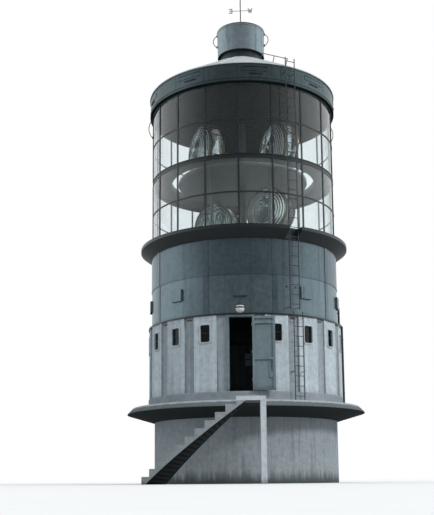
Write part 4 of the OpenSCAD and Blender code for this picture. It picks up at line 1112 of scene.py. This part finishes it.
class LIGHTHOUSE_OT_fit_ironwork(bpy.types.Operator):
    """Fits plates behind the ladder, bands on the pipe, laps on the roof and compass letters"""
    bl_idname = "lighthouse.fit_ironwork"
    bl_label = "Fit Ironwork"

    def execute(self, context):
        self.ladder_pads_and_pipe_bands()
        self.roof_laps()
        self.compass_letters(context.scene.lighthouse_fittings.letter_height)
        return {"FINISHED"}

    def ladder_pads_and_pipe_bands(self):
        """Pads on the plates behind the ladder's stringers, and two bands round the pipe."""
        bm = bmesh.new()
        seam, half = foot("upper_plates"), LADDER_WIDTH / 2 / LADDER_R
        for azimuth in (LADDER_AZIMUTH - half, LADDER_AZIMUTH + half):
            for z in (seam - 0.35, seam + 0.55):
                pad(bm, on_wall(azimuth, reach("lower_plates"), z), 0.07, 0.07, 0.008, 0.002)
        low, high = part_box("rainwater_pipe")
        inner, outer = PIPE_R - 0.001, PIPE_R + 0.006
        rings = [circle(r, z, 20) for r, z in
                 ((inner, -0.02), (outer, -0.018), (outer, 0.018), (inner, 0.02))]
        for z in (low.z + 0.52, low.z + 2.3):
            place = (Matrix.Rotation(PIPE_AZIMUTH, 4, "Z")
                     @ Matrix.Translation((0, PIPE_R - high.x, z)))
            loft(bm, placed(place, rings))
        piece("pipe_bands", bm, "tower", PAINTS["ladder"])

    def roof_laps(self):
        """A raised lap up the cone at every bay's middle, and a bead round the eave."""
        low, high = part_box("roof_cone")
        eave = Vector((high.x, 0, low.z + EAVE_THICKNESS))
        rise = Vector((NECK_R, 0, high.z)) - eave
        out = Vector((rise.z, 0, -rise.x)).normalized()
        steps = 12
        bm = bmesh.new()
        for bay in range(BAYS):
            turn = Matrix.Rotation((bay + 0.5) * BAY - QUARTER, 4, "Z")
            rings = []
            for i in range(steps + 1):
                centre = eave + rise * (0.012 + 0.976 * i / steps)
                rings.append([centre + Vector((0, side, 0)) + out * lift for side, lift in
                              ((-0.022, -0.002), (-0.012, 0.010), (0.012, 0.010),
                               (0.022, -0.002))])
            loft(bm, placed(turn, rings), caps=(True, True))
        hoop(bm, bead_section(eave.x - 0.004, eave.z - 0.018, 0.010), 180)
        piece("roof_laps", bm, "tower", PAINTS["roof"])

    def compass_letters(self, tall):
        """Plain letters of flat bars at the ends of the compass arms."""
        stroke, thick = tall * 0.16, 0.012
        strokes = {
            "N": [(-0.3, -0.5, -0.3, 0.5), (-0.3, 0.5, 0.3, -0.5), (0.3, -0.5, 0.3, 0.5)],
            "E": [(-0.28, -0.5, -0.28, 0.5), (-0.28, 0.42, 0.3, 0.42), (-0.28, 0.0, 0.2, 0.0),
                  (-0.28, -0.42, 0.3, -0.42)],
            "W": [(-0.4, 0.5, -0.2, -0.5), (-0.2, -0.5, 0.0, 0.3), (0.0, 0.3, 0.2, -0.5),
                  (0.2, -0.5, 0.4, 0.5)],
            "S": [(0.28, 0.42, -0.28, 0.42), (-0.28, 0.42, -0.28, 0.02), (-0.28, 0.0, 0.28, 0.0),
                  (0.28, -0.02, 0.28, -0.42), (0.28, -0.42, -0.28, -0.42)],
        }
        spots = {"E": (Vector((-1, 0, 0)), 180), "W": (Vector((1, 0, 0)), 0),
                 "N": (Vector((0, -1, 0)), -90), "S": (Vector((0, 1, 0)), 90)}
        away = reach("compass_rod") + 0.06
        arm = Vector((0, 0, top("ventilator_cowl") + COMPASS_ARM_RISE))
        bm = bmesh.new()
        for letter, (way, turn) in spots.items():
            place = (Matrix.Translation(way * away + arm)
                     @ Matrix.Rotation(math.radians(turn), 4, "Z"))
            for x0, z0, x1, z1 in strokes[letter]:
                a, b = Vector((x0, 0, z0)) * tall, Vector((x1, 0, z1)) * tall
                run = b - a
                bar = (place @ Matrix.Translation((a + b) / 2)
                       @ Matrix.Rotation(math.atan2(run.x, run.z), 4, "Y")
                       @ Matrix.Rotation(QUARTER, 4, "X")
                       @ Matrix.Translation((0, 0, -thick / 2)))
                pad(bm, bar, stroke, run.length + stroke * 0.8, thick, 0.002, sunk=0)
        piece("compass_letters", bm, "tower", PAINTS["cowl"])


class LIGHTHOUSE_OT_set_stage(bpy.types.Operator):
    """Lays the floor and sets the sky, the hazy sun and the camera"""
    bl_idname = "lighthouse.set_stage"
    bl_label = "Set Stage"

    def execute(self, context):
        stage = context.scene.lighthouse_stage
        self.lay_floor(stage.floor_radius)
        self.hang_sky(context.scene, stage)
        self.hang_sun(context.scene, stage)
        self.place_camera(context.scene, stage)
        settings = context.scene.view_settings
        settings.view_transform = "Standard"
        return {"FINISHED"}

    def lay_floor(self, radius):
        """A pale disc that stays dim in what it throws back at the tower."""
        bm = bmesh.new()
        loft(bm, [circle(r, 0, 96) for r in (0.5, radius * 0.1, radius * 0.4, radius)],
             caps=(True, False))
        mesh = bpy.data.meshes.new("floor")
        bm.to_mesh(mesh)
        bm.free()
        floor = bpy.data.objects.new("floor", mesh)
        floor.location.z = -0.002
        bpy.context.scene.collection.objects.link(floor)
        made, net, surface = fresh_material("Pale floor")
        speck = net.noise(net.here(), 2.0, 5, 0.6)
        ray = net.add("LightPath").outputs
        pale = net.mix(net.span(speck, 0.3, 0.7), (0.82, 0.825, 0.83, 1), (0.84, 0.845, 0.85, 1))
        dim = (0.26, 0.28, 0.29, 1)
        ground = net.mix(ray["Is Diffuse Ray"], pale, dim)
        ground = net.mix(ray["Is Glossy Ray"], ground, dim)
        shader = net.add("BsdfPrincipled", {
            "Base Color": ground, "Roughness": 0.9, "Specular IOR Level": 0.1})
        net.feed(surface, shader.outputs[0])
        floor.data.materials.append(made)

    def hang_sky(self, scene, stage):
        """A white sky to the camera, darker on the door's side for the tower and its gloss."""
        world = bpy.data.worlds.new("Overcast sky")
        scene.world = world
        world.use_nodes = True
        world.node_tree.nodes.clear()
        net = Net(world.node_tree)
        toward = net.add("TexCoord").outputs["Generated"]
        parts = net.add("SeparateXYZ", {"Vector": toward}).outputs
        front = net.span(parts["Y"], -0.95, 0.05, 1.0, 0.0)
        mirrored = net.math("MULTIPLY_ADD", front, -stage.mirrored_shade, 1.0)
        level = net.math("MULTIPLY", net.math("MULTIPLY_ADD", front, -stage.front_shade, 1.0),
                         stage.ambient)
        ray = net.add("LightPath").outputs
        shiny = net.math("MAXIMUM", ray["Is Glossy Ray"], ray["Is Transmission Ray"])
        sky = net.add("Background", {"Color": (0.95, 0.98, 1.0, 1),
                                     "Strength": net.level(shiny, level, mirrored)})
        plain = net.add("Background", {"Color": (1, 1, 1, 1), "Strength": 1.0})
        both = net.add("MixShader", {0: ray["Is Camera Ray"], 1: sky.outputs[0],
                                     2: plain.outputs[0]})
        net.feed(net.add("OutputWorld").inputs["Surface"], both.outputs[0])

    def hang_sun(self, scene, stage):
        """A wide, weak sun that no gloss mirrors."""
        light = bpy.data.lights.new("Hazy sun", "SUN")
        light.energy = stage.sun_strength
        light.angle = math.radians(9)
        light.color = (1.0, 0.98, 0.95)
        sun = bpy.data.objects.new("hazy_sun", light)
        scene.collection.objects.link(sun)
        sun.visible_glossy = False
        sun.rotation_euler = (Matrix.Rotation(stage.sun_azimuth, 4, "Z") @ Matrix.Rotation(
            QUARTER - stage.sun_elevation, 4, "X")).to_euler()

    def place_camera(self, scene, stage):
        """The camera of the photo's view, with a lens shifted upwards."""
        data = bpy.data.cameras.new("Camera")
        data.lens = stage.camera_lens
        data.sensor_width = 36
        data.shift_y = stage.camera_shift
        data.clip_end = 400
        camera = bpy.data.objects.new("camera", data)
        scene.collection.objects.link(camera)
        spot = polar(stage.camera_distance, stage.camera_azimuth, stage.camera_height)
        camera.matrix_world = (
            Matrix.Translation(spot)
            @ Matrix.Rotation(stage.camera_azimuth + stage.camera_turn, 4, "Z")
            @ Matrix.Rotation(QUARTER + stage.camera_pitch, 4, "X")
            @ Matrix.Rotation(-stage.camera_roll, 4, "Z"))
        scene.camera = camera


STEPS = (LIGHTHOUSE_OT_paint_concrete, LIGHTHOUSE_OT_paint_steelwork, LIGHTHOUSE_OT_glaze,
         LIGHTHOUSE_OT_finish_optic, LIGHTHOUSE_OT_add_rivets,
         LIGHTHOUSE_OT_fit_glazing_caps, LIGHTHOUSE_OT_fit_windows, LIGHTHOUSE_OT_fit_door,
         LIGHTHOUSE_OT_fit_ironwork, LIGHTHOUSE_OT_set_stage)


class LIGHTHOUSE_PT_dressing(bpy.types.Panel):
    """Lists the sizes, colours and steps of the lighthouse's dressing"""
    bl_idname = "LIGHTHOUSE_PT_dressing"
    bl_label = "Lighthouse"
    bl_space_type = "VIEW_3D"
    bl_region_type = "UI"
    bl_category = "Lighthouse"

    def draw(self, context):
        column = self.layout.column()
        for group in (context.scene.lighthouse_colours, context.scene.lighthouse_fittings,
                      context.scene.lighthouse_stage):
            for name in group.__annotations__:
                column.prop(group, name)
            column.separator()
        for step in STEPS:
            column.operator(step.bl_idname)


GROUPS_OF_SETTINGS = (("lighthouse_colours", LighthouseColours),
                      ("lighthouse_fittings", LighthouseFittings),
                      ("lighthouse_stage", LighthouseStage))


def register():
    """Registers the settings, the operators and the panel."""
    for name, group in GROUPS_OF_SETTINGS:
        bpy.utils.register_class(group)
        setattr(bpy.types.Scene, name, PointerProperty(type=group))
    for step in STEPS:
        bpy.utils.register_class(step)
    bpy.utils.register_class(LIGHTHOUSE_PT_dressing)


def unregister():
    """Takes back what register does."""
    bpy.utils.unregister_class(LIGHTHOUSE_PT_dressing)
    for step in reversed(STEPS):
        bpy.utils.unregister_class(step)
    for name, group in reversed(GROUPS_OF_SETTINGS):
        delattr(bpy.types.Scene, name)
        bpy.utils.unregister_class(group)


def main():
    """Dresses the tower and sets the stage."""
    register()
    bpy.ops.lighthouse.paint_concrete()
    bpy.ops.lighthouse.paint_steelwork()
    bpy.ops.lighthouse.glaze()
    bpy.ops.lighthouse.finish_optic()
    bpy.ops.lighthouse.add_rivets()
    bpy.ops.lighthouse.fit_glazing_caps()
    bpy.ops.lighthouse.fit_windows()
    bpy.ops.lighthouse.fit_door()
    bpy.ops.lighthouse.fit_ironwork()
    bpy.ops.lighthouse.set_stage()


if __name__ == "__main__":
    main()
